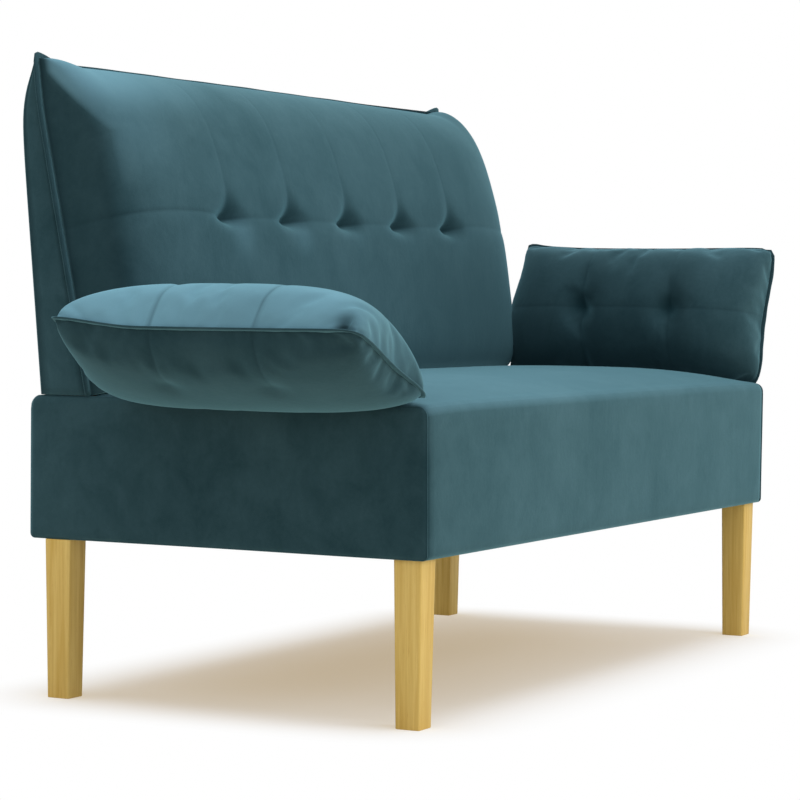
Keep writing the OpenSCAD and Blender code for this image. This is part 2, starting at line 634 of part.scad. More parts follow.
// Room for the fixed brackets over the arm's whole swing
module hinge_slots() at_hinges() translate([-slot_in, -slot_half, -arm_root - slot_low])
    cube([slot_in + slot_out, 2 * slot_half, arm_root + slot_low + eye_r + tooth_h + 2 * fit]);
module board_room() translate([-leaf_face, -board_half - fit, board_low - fit])
    cube([2 * leaf_face, 2 * (board_half + fit), board_top - board_low + 2 * fit]);
module leaf_room() at_hinges() translate([0, -plate_w / 2 - fit, 0])
    cube([leaf_face + plate_t + screw_head_h + 3 * fit, plate_w + 2 * fit,
        leaf_plate_top + fit]);
module arm_tufts() for (s = [-1, 1]) translate([0, s * arm_tuft_pitch / 2, arm_mid_s])
    children();
module cord_holes() arm_tufts() bar_x(-2 * arm_crown_in, 2 * arm_crown_out, cord_d + fit);
module arm_pad_in() difference() {
    face_in() pad(inner_skin(cloth_t + fit), len(arm_u), len(arm_v));
    board_room();
    hinge_slots();
    cord_holes();
}
module arm_pad_out() difference() {
    face_out() pad(outer_skin(cloth_t + fit), len(arm_u), len(arm_v));
    board_room();
    leaf_room();
    hinge_slots();
    cord_holes();
}
module arm_cover_in() difference() {
    face_in() cloth(inner_skin(0), inner_skin(cloth_t), len(arm_u), len(arm_v));
    hinge_slots();
}
module arm_cover_out() difference() {
    face_out() cloth(outer_skin(0), outer_skin(cloth_t), len(arm_u), len(arm_v));
    hinge_slots();
}
function arm_rim(o, rear) = concat([[0, -arm_root], [arm_side(-1, rear) + o, -arm_root]],
    [for (v = [-0.6, -0.2, 0.2, 0.5, 0.7, 0.82, 0.9])
        [arm_side(v, rear) + o, arm_b(1, v, rear)]],
    [for (u = [1, 0.97, 0.93, 0.87, 0.75, 0.5])
        [u * (arm_side(1, rear) + o), arm_high(u, rear) + o]]);
module arm_welt() difference() {
    face_out() linear_extrude(welt_t, center = true) difference() {
        polygon(concat(arm_rim(welt_out / 2, true), mirrored(arm_rim(welt_out / 2, false))));
        polygon(concat([[board_half + welt_open, -6], [board_half + welt_open, board_top + 12]],
            [[-board_half - welt_open, board_top + 12], [-board_half - welt_open, -6]]));
    }
    hinge_slots();
}
module arm_board() difference() {
    translate([-board_t / 2, -board_half, board_low])
        cube([board_t, 2 * board_half, board_top - board_low]);
    leaf_screw_places() bar_x(-board_t - 4, board_t, screw_d + hole_gap);
    cord_holes();
}
// The toothed leaf: eye and ratchet teeth, a web and a plate on the board's outer face
module hinge_leaf() difference() {
    union() {
        upright_plate(leaf_t) {
            circle(eye_r);
            for (a = [-4.5:5.5]) rotate(270 - a * tooth_step) polygon([
                [eye_r - 1, -1.4], [eye_r + tooth_h, 0.7], [eye_r - 1, 1.4]]);
            square([leaf_face + plate_t, board_low - fit]);
        }
        translate([leaf_face, -plate_w / 2, leaf_plate_low])
            cube([plate_t, plate_w, leaf_plate_top - leaf_plate_low]);
    }
    axis_bore(pin_d + hole_gap);
    one_leaf_screws() bar_x(-board_t, board_t, screw_d + hole_gap);
}
module one_leaf_screws() for (y = [-1, 1], z = [board_low + 14, leaf_plate_top - 12])
    translate([leaf_face, y * (plate_w / 2 - 9), z]) children();
module leaf_screw_places() at_hinges() one_leaf_screws() children();
module leaf_screws() leaf_screw_places() mirror([1, 0, 0])
    translate([-fit, 0, 0]) screw_x(board_t - 6, plate_t);
module arm_cords() arm_tufts() bar_x(
    cloth_t + fit - arm_face(arm_tuft_pitch / 2 / arm_half, 0, arm_crown_in, inner_deep, 1)[2],
    arm_face(arm_tuft_pitch / 2 / arm_half, 0, arm_crown_out, outer_deep, 1)[2] - cloth_t - fit,
    cord_d);

// Every piece under its own name
module front_left_leg() leg(-1, true);
module front_right_leg() leg(1, true);
module rear_left_leg() leg(-1, false);
module rear_right_leg() leg(1, false);
module seat_front_rail() cross_rail(0);
module seat_rear_rail() cross_rail(1);
module seat_left_rail() left_side() side_rail();
module seat_right_rail() side_rail();
module seat_left_panel() left_side() side_panel();
module seat_right_panel() side_panel();
module back_left_post() left_side() back_post();
module back_right_post() back_post();
module back_top_rail() back_rail(back_head_w - back_rail_h, back_rail_h, back_front_n, back_rail_t);
module back_middle_rail() back_rail(tuft_row - back_rail_h / 2, back_rail_h, 0, back_rail_t);
module back_bottom_rail() back_rail(back_bottom_w, back_rail_h, back_front_n, back_rail_t);
module left_hinge_brackets() left_side() hinge_brackets();
module left_bracket_screws() left_side() bracket_screws();
module left_hinge_pins() left_side() hinge_pins();
module left_detent_springs() left_side() detent_springs();
module right_hinge_brackets() hinge_brackets();
module right_bracket_screws() bracket_screws();
module right_hinge_pins() hinge_pins();
module right_detent_springs() detent_springs();
module left_arm_board() color(beech) left_side() arm_place(left_tilt) arm_board();
module left_arm_inner_foam() color(foam_tint) left_side() arm_place(left_tilt) arm_pad_in();
module left_arm_outer_foam() color(foam_tint) left_side() arm_place(left_tilt) arm_pad_out();
module left_arm_inner_cover() color(velvet) left_side() arm_place(left_tilt) arm_cover_in();
module left_arm_outer_cover() color(velvet) left_side() arm_place(left_tilt) arm_cover_out();
module left_arm_welt() color(velvet_dark) left_side() arm_place(left_tilt) arm_welt();
module left_hinge_leaves() color(steel) left_side() arm_place(left_tilt) at_hinges() hinge_leaf();
module left_leaf_screws() color(steel) left_side() arm_place(left_tilt) leaf_screws();
module left_arm_tuft_cords() color(black) left_side() arm_place(left_tilt) arm_cords();
module right_arm_board() color(beech) arm_place(right_tilt) arm_board();
module right_arm_inner_foam() color(foam_tint) arm_place(right_tilt) arm_pad_in();
module right_arm_outer_foam() color(foam_tint) arm_place(right_tilt) arm_pad_out();
module right_arm_inner_cover() color(velvet) arm_place(right_tilt) arm_cover_in();
module right_arm_outer_cover() color(velvet) arm_place(right_tilt) arm_cover_out();
module right_arm_welt() color(velvet_dark) arm_place(right_tilt) arm_welt();
module right_hinge_leaves() color(steel) arm_place(right_tilt) at_hinges() hinge_leaf();
module right_leaf_screws() color(steel) arm_place(right_tilt) leaf_screws();
module right_arm_tuft_cords() color(black) arm_place(right_tilt) arm_cords();

front_left_leg();
front_right_leg();
rear_left_leg();
rear_right_leg();
leg_bolts();
corner_posts();
seat_front_rail();
seat_rear_rail();
seat_left_rail();
seat_right_rail();
seat_centre_rail();
seat_webbing();
seat_cross_webbing();
seat_foam();
seat_cover();
seat_left_panel();
seat_right_panel();
seat_rear_panel();
dust_cloth();
back_left_post();
back_right_post();
back_top_rail();
back_middle_rail();
back_bottom_rail();
back_steel_straps();
back_strap_bolts();
back_webbing();
back_foam();
back_front_cover();
back_rear_cover();
back_welt();
back_tuft_cords();
left_hinge_brackets();
left_bracket_screws();
left_hinge_pins();
left_detent_springs();
right_hinge_brackets();
right_bracket_screws();
right_hinge_pins();
right_detent_springs();
left_arm_board();
left_arm_inner_foam();
left_arm_outer_foam();
left_arm_inner_cover();
left_arm_outer_cover();
left_arm_welt();
left_hinge_leaves();
left_leaf_screws();
left_arm_tuft_cords();
right_arm_board();
right_arm_inner_foam();
right_arm_outer_foam();
right_arm_inner_cover();
right_arm_outer_cover();
right_arm_welt();
right_hinge_leaves();
right_leaf_screws();
right_arm_tuft_cords();
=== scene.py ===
"""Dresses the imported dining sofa: velvet cushions, oak legs, bare frame parts and a plain stage."""

import json
import math

import bmesh
import bpy
from bpy.props import FloatProperty, FloatVectorProperty, PointerProperty
from mathutils import Matrix, Vector


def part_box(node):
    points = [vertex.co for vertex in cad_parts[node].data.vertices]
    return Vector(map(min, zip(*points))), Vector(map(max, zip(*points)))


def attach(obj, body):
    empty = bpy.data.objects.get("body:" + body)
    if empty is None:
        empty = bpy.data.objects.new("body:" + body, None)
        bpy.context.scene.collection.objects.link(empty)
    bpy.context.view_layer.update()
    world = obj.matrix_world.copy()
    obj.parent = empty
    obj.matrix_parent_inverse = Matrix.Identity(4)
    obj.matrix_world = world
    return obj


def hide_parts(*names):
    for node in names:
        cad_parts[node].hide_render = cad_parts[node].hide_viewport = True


bl_info = {
    "name": "Dining Sofa",
    "version": (1, 0, 0),
    "blender": (4, 5, 0),
    "location": "View3D > Sidebar > Sofa",
    "description": "Makes the covers, legs and finishes of a dining sofa with folding arms",
    "category": "Add Mesh",
}

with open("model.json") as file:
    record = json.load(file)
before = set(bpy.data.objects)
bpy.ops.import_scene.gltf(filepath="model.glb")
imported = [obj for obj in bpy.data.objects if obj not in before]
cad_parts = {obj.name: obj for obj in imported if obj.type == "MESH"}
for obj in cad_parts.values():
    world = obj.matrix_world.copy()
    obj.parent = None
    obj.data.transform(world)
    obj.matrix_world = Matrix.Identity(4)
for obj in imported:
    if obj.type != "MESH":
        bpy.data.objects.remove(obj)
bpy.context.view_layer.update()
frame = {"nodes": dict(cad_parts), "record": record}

# The seat box and the hinges, read from the frame
(_, _, BOX_LOW), (HALF_W, HALF_D, BOX_TOP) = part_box("seat_right_panel")
COVER_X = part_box("seat_cover")[1][0]
LEG_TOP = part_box("front_left_leg")[1][2]
JOINTS = frame["record"]["behaviour"]["joints"]
HINGE = next(joint["pos_m"] for joint in JOINTS if joint["child"] == "right_arm")

# Backrest, in metres along its lean
RAKE = math.radians(11.7)
BACK_FOOT = 0.097  # from the rear of the box to the foot of the seam
SEAM_Y = HALF_D - BACK_FOOT
SEAM_Z = BOX_TOP + 0.0003
BACK_H = 0.5055
BACK_EAR = 0.0105  # how far the top corners stand up, and how far out
BACK_EAR_OUT = 0.003
BACK_TOP_RISE = 0.0022
BACK_CURL = 0.010  # how far the seam bends forward over the span that follows
CURL_START = 0.41
CURL_SPAN = 0.105
BACK_CROWN = 0.130
SEAM_N = 0.0018  # from the seam plane to the cushion's rim
TUFT_PITCH = 0.192
TUFT_ROW = 0.253
ROW_BOW = 0.007
ROW_DRAW = 0.0020  # how far the row and its tufts are drawn in
TUFT_DRAW = 0.029
TUFT_FADE = 0.015  # height over which the fold above a tuft fades
TUFT_HOLD = 0.009  # radius that a tuft's cord holds still
WEDGE_FOOT = 0.086  # depth of the gussets behind the seam
WEDGE_HEAD = 0.028
GUSSET_R = 0.006
BACK_CORNER_R = 0.011
BACK_WELT_IN = 0.010

# Seat
SEAT_CROWN = 0.030
BOX_SPREAD = 0.012  # how much the padding widens the box on each side, at its front
FRONT_R = 0.016
REAR_PAD = 0.008  # how far the rear panel stands behind the frame
PANEL_REAR_R = 0.020
PANEL_LOW_R = 0.008
SEAT_MID_Y = -0.08 * 2 * HALF_D
HEM = 0.024
PANEL_SEAM = 0.0022

# Bevel under the feet of the legs
FOOT_BEVEL = 0.0012

# Widths of the cells of the panels and the welts
PANEL_CELL = 0.012
REAR_CELL = 0.02
WELT_CELL = 0.008

# Arms, in their own frame: x outwards, y along the hinge axis, z up to the free edge
ARM_REACH = 0.229
ARM_ROOT = 0.023
ARM_HALF = 0.244
ARM_SHIFT = -0.005
ARM_MID_S = 0.100  # height of the inner tufts, and of the outer dimples
ARM_DIMPLE_S = 0.142
ARM_TUFT = 0.0845
ARM_CROWN_IN = 0.105
ARM_CROWN_OUT = 0.059
ARM_DRAW = 0.003  # how far the seams are drawn in between the corners
ARM_EAR = -0.001
ARM_FRONT_ROUND = 0.005
ARM_ROOT_ROUND = 0.013
ARM_FRONT_R = 0.014
ARM_REAR_R = 0.008
ARM_WELT_IN = 0.006
HINGE_SPREAD = 0.250
# Slots in the cushion that leave room for the leaves of the hinges
SLOT_SIZE = (0.066, 0.0134, 0.0444)
SLOT_X = -0.003
SLOT_Z = -0.0078
LEFT_TILT = math.radians(68)
RIGHT_TILT = math.radians(10)

# Cloth of the covers while they are filled
CLOTH_FRAMES = 20
CLOTH = {
    "quality": 5, "mass": 0.35, "tension_stiffness": 18, "compression_stiffness": 12,
    "shear_stiffness": 6, "bending_stiffness": 0.6, "tension_damping": 6,
    "compression_damping": 6, "vertex_group_mass": "held", "pin_stiffness": 1.0,
    "shrink_min": -0.035, "use_pressure": True,
}

# The velvet's darkest colours: painted shade, dark seams partly painted shade, tufts' painted shade
PAINTED_SHADE_DARK = (0.004, 0.016, 0.020)
SEAM_AND_SHADE_DARK = (0.004, 0.016, 0.022)
TUFT_SHADE_DARK = (0.006, 0.028, 0.036)

# Floor: its colours for light and for the camera, half the sides of the rectangle that shows
# its shade, and the way from there out to plain white
FLOOR_LIT = ((0.80, 0.74, 0.62), (0.84, 0.78, 0.66))
FLOOR_SEEN = ((0.60, 0.71, 0.87), (0.63, 0.74, 0.90))
SHADE_HALVES = (0.58, 0.24)
SHADE_FADE = 0.24

# Lamps: their names, places, widths and powers, and the height that they aim at
LAMPS = (("overhead", (-0.5, -0.4, 3.4), 2.8, 26.0), ("front", (0.3, -3.8, 2.1), 2.4, 40.0))
LAMP_AIM_Z = 0.45

# Camera: its place, its yaw, pitch and roll in degrees, and its lens in mm
CAMERA_AT = (-4.099, -2.088, 0.6135)
CAMERA_TURN = (62.3498, -2.1955, 0.5462)
CAMERA_LENS = 124.74


def mix(a, b, t):
    return a + (b - a) * t


def bulge(t, p, q):
    """A bulge over -1..1: p shapes its flanks, q its rim."""
    return max(0.0, 1.0 - abs(t) ** p) ** q


def rise(t, low, high):
    """A smooth step from 0 at low to 1 at high."""
    t = min(1.0, max(0.0, (t - low) / (high - low)))
    return t * t * (3 - 2 * t)


def valley(d, w):
    return math.exp(-((d / w) ** 2))


def wrap(t, p, h):
    """Share across and share of height on a superellipse of power p, for t over -1..1."""
    c = 0.5 ** (1.0 / p)
    a = abs(t)
    if a <= h:
        u = c * a / h
        full = (1.0 - u ** p) ** (1.0 / p)
    else:
        full = max(0.0, c * (1.0 - a) / (1.0 - h))
        u = (1.0 - full ** p) ** (1.0 / p)
    return math.copysign(u, t), full


def unwrap(u, p, h):
    """The t at which wrap gives the share u."""
    c = 0.5 ** (1.0 / p)
    a = abs(u)
    t = a * h / c if a <= c else 1.0 - (1.0 - a ** p) ** (1.0 / p) * (1.0 - h) / c
    return math.copysign(t, u)


def spread(curve, stops, cell):
    """Values through every stop, about a cell apart along a curve."""
    values = [stops[0]]
    for a, b in zip(stops, stops[1:]):
        probe = [mix(a, b, k / 300) for k in range(301)]
        points = [curve(t) for t in probe]
        run = [0.0]
        for p, q in zip(points, points[1:]):
            run.append(run[-1] + (q - p).length)
        count = max(1, round(run[-1] / cell))
        k = 0
        for i in range(1, count):
            goal = run[-1] * i / count
            while run[k + 1] < goal:
                k += 1
            values.append(mix(probe[k], probe[k + 1], (goal - run[k]) / (run[k + 1] - run[k])))
        values.append(b)
    return values


def lean(x, w, n):
    """A point of the leaning backrest: x across, w up the lean, n in front of the seam plane."""
    return Vector((x, SEAM_Y + w * math.sin(RAKE) - n * math.cos(RAKE),
                   SEAM_Z + w * math.cos(RAKE) + n * math.sin(RAKE)))


# Meshes


def grid(us, vs, place, layers=("across", "up")):
    """A bmesh grid whose vertices lie at place(u, v), which also gives a value for each layer."""
    bm = bmesh.new()
    nx, ny = len(us) - 1, len(vs) - 1
    bmesh.ops.create_grid(bm, x_segments=nx, y_segments=ny, size=1.0)
    if len(bm.verts) != len(us) * len(vs):
        raise RuntimeError("the grid has another number of vertices than its lines")
    stores = [bm.verts.layers.float.new(name) for name in layers]
    for v in bm.verts:
        u = us[round((v.co.x + 1.0) / 2.0 * nx)]
        t = vs[round((v.co.y + 1.0) / 2.0 * ny)]
        point, values = place(u, t)
        v.co = point
        for store, value in zip(stores, values):
            v[store] = value
    return bm


def linked(name, data):
    """An object at the origin with this data, in the scene."""
    obj = bpy.data.objects.new(name, data)
    bpy.context.scene.collection.objects.link(obj)
    return obj


def piece(name, bm, smooth=True):
    """An object at the origin with this mesh."""
    mesh = bpy.data.meshes.new(name)
    bm.normal_update()
    bm.to_mesh(mesh)
    bm.free()
    if smooth:
        mesh.shade_smooth()
    return linked(name, mesh)


def bake(obj):
    """Replaces the object's mesh by what its modifiers make of it."""
    depsgraph = bpy.context.evaluated_depsgraph_get()
    mesh = bpy.data.meshes.new_from_object(
        obj.evaluated_get(depsgraph), preserve_all_data_layers=True, depsgraph=depsgraph)
    obj.modifiers.clear()
    old = obj.data
    obj.data = mesh
    mesh.name = old.name
    bpy.data.meshes.remove(old)


def reworked(obj, work):
    """Runs a bmesh step on the mesh of an object."""
    bm = bmesh.new()
    bm.from_mesh(obj.data)
    work(bm)
    bm.to_mesh(obj.data)
    bm.free()
    obj.data.update()


def closed_flat(bm):
    """Closes the open rim of a cushion by one face in its seam plane."""
    bmesh.ops.contextual_create(bm, geom=[e for e in bm.edges if e.is_boundary])
    bmesh.ops.recalc_face_normals(bm, faces=bm.faces)


def thickened(obj, thickness):
    """Gives a cover its thickness, inwards."""
    shell = obj.modifiers.new("Thickness", "SOLIDIFY")
    shell.thickness = thickness
    shell.offset = -1.0


def folded(out, inward, thickness):
    """The section of a welt with a round outer edge: pairs of the way out and the way up."""
    flat = thickness / 2
    turns = [k * math.pi / 6 for k in range(1, 6)]
    return [(-inward, flat), (out - flat, flat),
            *((out - flat + flat * math.sin(a), flat * math.cos(a)) for a in turns),
            (out - flat, -flat), (-inward, -flat)]


def strip(ts, section, place):
    """A closed strip; place(t, out, up) puts each point of its section at each t."""
    bm = grid(ts, range(len(section) + 1),
              lambda t, k: (place(t, *section[k % len(section)]), ()), layers=())
    bmesh.ops.remove_doubles(bm, verts=bm.verts, dist=1e-6)
    bmesh.ops.holes_fill(bm, edges=[e for e in bm.edges if e.is_boundary], sides=0)
    bmesh.ops.recalc_face_normals(bm, faces=bm.faces)
    return bm


def with_edges(lines, half, offsets, clear=0.0):
    """Lines over -1..1 of a panel this half wide: those given, less any within clear of its
    edges, and more at the offsets in millimetres from both edges."""
    kept = {u for u in lines if abs(u) < 1 - clear / half or abs(u) == 1}
    near = {1 - k / half / 1000 for k in offsets}
    return sorted(kept | near | {-u for u in near})


def bevelled(bm, edges, offset, segments):
    bmesh.ops.bevel(bm, geom=edges, offset=offset, offset_type="OFFSET", segments=segments,
                    profile=0.5, affect="EDGES", material=-1)


def subdivide(obj):
    smooth = obj.modifiers.new("Subdivision", "SUBSURF")
    smooth.levels = smooth.render_levels = 1
    smooth.boundary_smooth = "PRESERVE_CORNERS"
    bake(obj)


def swell(obj, held, pressure, limit):
    """Inflates the cover as cloth, held by the weights given for its vertices, and keeps every
    point within the limit of where it started."""
    group = obj.vertex_groups.new(name="held")
    for index, weight in held.items():
        group.add([index], weight, "REPLACE")
    cloth = obj.modifiers.new("Cloth", "CLOTH")
    for key, value in CLOTH.items():
        setattr(cloth.settings, key, value)
    cloth.settings.uniform_pressure_force = pressure
    cloth.settings.effector_weights.gravity = 0.0
    cloth.collision_settings.use_collision = False
    cloth.collision_settings.use_self_collision = False
    cloth.point_cache.frame_start = 1
    cloth.point_cache.frame_end = CLOTH_FRAMES
    start = [v.co.copy() for v in obj.data.vertices]
    for number in range(1, CLOTH_FRAMES + 1):
        bpy.context.scene.frame_set(number)
    bake(obj)
    bpy.context.scene.frame_set(1)
    for v, at in zip(obj.data.vertices, start):
        move = v.co - at
        if move.length > limit:
            v.co = at + move * (limit / move.length)
    obj.vertex_groups.clear()


def nothing(a, b, k):
    return 0.0


def press(obj, marks, depth=nothing, nap_and_painted_light=nothing):
    """Moves each vertex in along its normal by depth, and writes the marks that materials read;
    all three take the two values stored at the vertex and its number. The marks are the seams,
    dark partly as stitching and partly as painted shade, and the painted shade of the tufts.
    Where nap is over 0 the velvet is painted with a highlight, and below 0 with shade."""
    mesh = obj.data
    normals = [v.normal.copy() for v in mesh.vertices]
    names = ("seam", "pit_shade", "nap_and_painted_light")
    for name in names:
        mesh.attributes.new(name, "FLOAT", "POINT")
    stores = [mesh.attributes[name].data for name in names]
    across, up = mesh.attributes["across"].data, mesh.attributes["up"].data
    for k, v in enumerate(mesh.vertices):
        a, b = across[k].value, up[k].value
        v.co = v.co - normals[k] * depth(a, b, k)
        for store, value in zip(stores, (*marks(a, b, k), nap_and_painted_light(a, b, k))):
            store[k].value = value
    mesh.update()


# Node groups and materials


def add(tree, kind, *values, **settings):
    """A node. The values are for its inputs in their order: sockets to link, numbers or colours,
    or None to leave one; the settings name its own settings or its inputs."""
    node = tree.nodes.new(kind)
    for key, value in settings.items():
        if hasattr(node, key):
            setattr(node, key, value)
        else:
            node.inputs[key.replace("_", " ")].default_value = value
    for socket, value in zip(node.inputs, values):
        if hasattr(value, "is_output"):
            tree.links.new(value, socket)
        elif value is not None:
            socket.default_value = value
    return node


def opaque(colour):
    return (*colour[:3], 1.0)


def sums(tree, operation, a, b=0.0, clamp=False):
    """A Math node on two sockets or numbers."""
    return add(tree, "ShaderNodeMath", a, b, operation=operation, use_clamp=clamp).outputs[0]


def weighted(tree, *terms):
    """The sum of fields, each times its weight."""
    total = 0.0
    for field, weight in terms:
        total = sums(tree, "ADD", total, sums(tree, "MULTIPLY", field, weight))
    return total


def noise(tree, spot, scale, detail, roughness=0.5, distortion=0.0):
    return add(tree, "ShaderNodeTexNoise", spot, Scale=scale, Detail=detail,
               Roughness=roughness, Distortion=distortion).outputs["Fac"]


def stretched(tree, spot, scale):
    return add(tree, "ShaderNodeMapping", spot, Scale=scale).outputs[0]


def turned(tree, spot, turn):
    return add(tree, "ShaderNodeVectorRotate", spot, None, None, None, turn,
               rotation_type="EULER_XYZ").outputs[0]


def mapped(tree, value, low, high, to_low=0.0, to_high=1.0, smooth=False):
    return add(tree, "ShaderNodeMapRange", value, low, high, to_low, to_high,
               interpolation_type="SMOOTHSTEP" if smooth else "LINEAR").outputs["Result"]


def blended(tree, factor, a, b, mode="MIX"):
    """A colour mix; a and b are sockets or colours."""
    ends = [end if hasattr(end, "is_output") else opaque(end) for end in (a, b)]
    return add(tree, "ShaderNodeMix", factor, *[None] * 5, *ends, data_type="RGBA",
               blend_type=mode).outputs[2]


def mixed_shader(tree, factor, a, b):
    return add(tree, "ShaderNodeMixShader", factor, a, b).outputs[0]


def velvet_nap(tree, given, spot):
    """The short pile of velvet: patches where it lies another way, streaks and single fibres,
    under the painted highlights, painted shade and dark seams that the marks ask for.
    """
    patches = noise(tree, spot, 5.5, 3.0, 0.55, 0.6)
    clouds = noise(tree, spot, 16.0, 3.0, 0.6, 0.7)
    strokes = noise(tree, stretched(tree, spot, (1.0, 1.0, 0.35)), 34.0, 4.0, 0.6, 0.8)
    fibres = noise(tree, spot, 620.0, 2.0, 0.7)
    grainy = noise(tree, spot, 150.0, 3.0, 0.65)
    tone = weighted(tree, *((sums(tree, "SUBTRACT", field, 0.5), share) for field, share in (
        (patches, 0.75), (clouds, 0.60), (strokes, 0.30), (grainy, 0.22), (fibres, 0.20))))
    tone = sums(tree, "ADD", sums(tree, "MULTIPLY", tone, given["Mottle"]), 0.5, clamp=True)
    nap_and_painted_light, seam, pit_shade = (add(tree, "ShaderNodeAttribute", attribute_name=name).outputs["Fac"]
                       for name in ("nap_and_painted_light", "seam", "pit_shade"))
    colour = blended(tree, tone, given["Deep"], given["Pale"])
    # Painted highlight: paler where the nap mark is over 0
    colour = blended(tree, mapped(tree, nap_and_painted_light, 0.0, 1.0), colour, given["Painted Highlight"])
    # Painted shade: darker where the nap mark is below 0
    colour = blended(tree, mapped(tree, nap_and_painted_light, 0.0, -1.0), colour, PAINTED_SHADE_DARK)
    # The seams' dark: partly their stitching, partly painted shade in gaps and creases
    shade = sums(tree, "MULTIPLY", seam, given["Seam Shade"], clamp=True)
    colour = blended(tree, shade, colour, SEAM_AND_SHADE_DARK)
    # Painted shade in the pits and creases of the tufts and in the dimples
    shade = sums(tree, "MULTIPLY", pit_shade, 0.55, clamp=True)
    colour = blended(tree, shade, colour, TUFT_SHADE_DARK)
    height = weighted(tree, (fibres, 0.35), (grainy, 0.5), (strokes, 0.5), (seam, -1.6))
    return colour, mapped(tree, tone, 0.0, 1.0, 0.96, 0.70), height


def wood_grain(tree, given, spot):
    """Wood grain along Z: slow bands, fine pores and a few darker rays."""
    along = turned(tree, spot, given["Turn"])
    bands = noise(tree, stretched(tree, along, (34.0, 34.0, 1.6)), 1.0, 3.0, 0.55, 1.2)
    lines = noise(tree, stretched(tree, along, (210.0, 210.0, 5.0)), 1.0, 3.0, 0.6, 0.5)
    pores = noise(tree, stretched(tree, along, (900.0, 900.0, 38.0)), 1.0, 2.0, 0.7)
    tone = sums(tree, "MULTIPLY", mapped(tree, bands, 0.32, 0.68), given["Band"])
    tone = sums(tree, "ADD", sums(tree, "MULTIPLY", tone, 0.55),
                sums(tree, "MULTIPLY", mapped(tree, lines, 0.36, 0.66), 0.45), clamp=True)
    pits = mapped(tree, pores, 0.60, 0.74, smooth=True)
    colour = blended(tree, tone, given["Light"], given["Dark"])
    colour = blended(tree, sums(tree, "MULTIPLY", pits, 0.35), colour, given["Dark"], "MULTIPLY")
    height = sums(tree, "SUBTRACT", sums(tree, "MULTIPLY", lines, 0.5), pits)
    return colour, mapped(tree, tone, 0.0, 1.0, 0.46, 0.60), height


def plain_weave(tree, given, spot):
    """A plain weave: warp and weft threads with slubs."""
    sized = add(tree, "ShaderNodeVectorMath", spot, operation="SCALE")
    tree.links.new(given["Threads"], sized.inputs["Scale"])
    split = add(tree, "ShaderNodeSeparateXYZ", sized.outputs[0])
    warp, weft = (sums(tree, "SINE", sums(tree, "MULTIPLY", split.outputs[k], math.tau))
                  for k in (0, 1))
    woven = sums(tree, "MULTIPLY", warp, weft)
    slubs = noise(tree, stretched(tree, spot, (60.0, 260.0, 60.0)), 1.0, 2.0)
    tone = sums(tree, "ADD", sums(tree, "MULTIPLY", woven, 0.3),
                sums(tree, "MULTIPLY", slubs, 0.9), clamp=True)
    return (blended(tree, tone, given["Shadow"], given["Thread"]),
            mapped(tree, tone, 0.0, 1.0, 0.95, 0.80), tone)


def handled_metal(tree, given, spot):
    """Handled metal: a fine rolled brush, smudges and dull spots."""
    smudge = noise(tree, spot, 38.0, 4.0, 0.6)
    brush = noise(tree, stretched(tree, spot, (1.0, 1.0, 24.0)), 60.0, 2.0, 0.6)
    tone = mapped(tree, sums(tree, "ADD", smudge, sums(tree, "MULTIPLY", brush, 0.4)), 0.45, 0.95)
    dullness = mapped(tree, tone, 0.0, 1.0, 0.16, -0.04)
    return (blended(tree, tone, given["Dull"], given["Bright"]),
            sums(tree, "ADD", given["Polish"], dullness), brush)


SOCKETS = {0: "NodeSocketFloat", 3: "NodeSocketVector", 4: "NodeSocketColor"}


def node_group(fill, inputs):
    """The group that fill builds once: from the tree, the group's inputs and the object's
    coordinates it makes a colour, a roughness and a height."""
    if fill.__name__ in bpy.data.node_groups:
        return bpy.data.node_groups[fill.__name__]
    tree = bpy.data.node_groups.new(fill.__name__, "ShaderNodeTree")
    for label, value in inputs.items():
        kind = SOCKETS[len(value) if isinstance(value, tuple) else 0]
        tree.interface.new_socket(name=label, in_out="INPUT", socket_type=kind)
    for label, kind in (("Color", 4), ("Roughness", 0), ("Height", 0)):
        tree.interface.new_socket(name=label, in_out="OUTPUT", socket_type=SOCKETS[kind])
    given = add(tree, "NodeGroupInput").outputs
    spot = add(tree, "ShaderNodeTexCoord").outputs["Object"]
    add(tree, "NodeGroupOutput", *fill(tree, given, spot))
    return tree


def blank(name, **principled):
    """A new material, its node tree and its shader, on which the values given are set."""
    made = bpy.data.materials.new(name)
    made.use_nodes = True
    shader = made.node_tree.nodes["Principled BSDF"]
    for key, value in principled.items():
        shader.inputs[key.replace("_", " ")].default_value = value
    return made, made.node_tree, shader


def material(name, fill, inputs, bump, distance, **principled):
    """A Principled material, made once, whose colour, roughness and bump come from a group."""
    if name in bpy.data.materials:
        return bpy.data.materials[name]
    made, tree, shader = blank(name, **principled)
    effects = add(tree, "ShaderNodeGroup", node_tree=node_group(fill, inputs))
    for key, value in inputs.items():
        effects.inputs[key].default_value = value
    bumped = add(tree, "ShaderNodeBump", Strength=bump, Distance=distance)
    for start, end in ((effects.outputs["Color"], shader.inputs["Base Color"]),
                       (effects.outputs["Roughness"], shader.inputs["Roughness"]),
                       (effects.outputs["Height"], bumped.inputs["Height"]),
                       (bumped.outputs[0], shader.inputs["Normal"])):
        tree.links.new(start, end)
    return made


# Shade below 1 darkens the copy all over: the welts' and box panels' copies are painted shade
def velvet(name="teal_velvet", shade=1.0):
    colours = bpy.context.scene.sofa_colours
    deep, pale, painted_highlight = (opaque([c * shade for c in colour]) for colour in (
        colours.velvet_deep, colours.velvet_pale, colours.velvet_painted_highlight))
    return material(
        name, velvet_nap,
        {"Deep": deep, "Pale": pale, "Painted Highlight": painted_highlight, "Mottle": 1.5, "Seam Shade": 0.6},
        0.35, 0.0012, Specular_IOR_Level=0.08, Sheen_Weight=0.54, Sheen_Roughness=0.50,
        Sheen_Tint=opaque(colours.velvet_sheen))


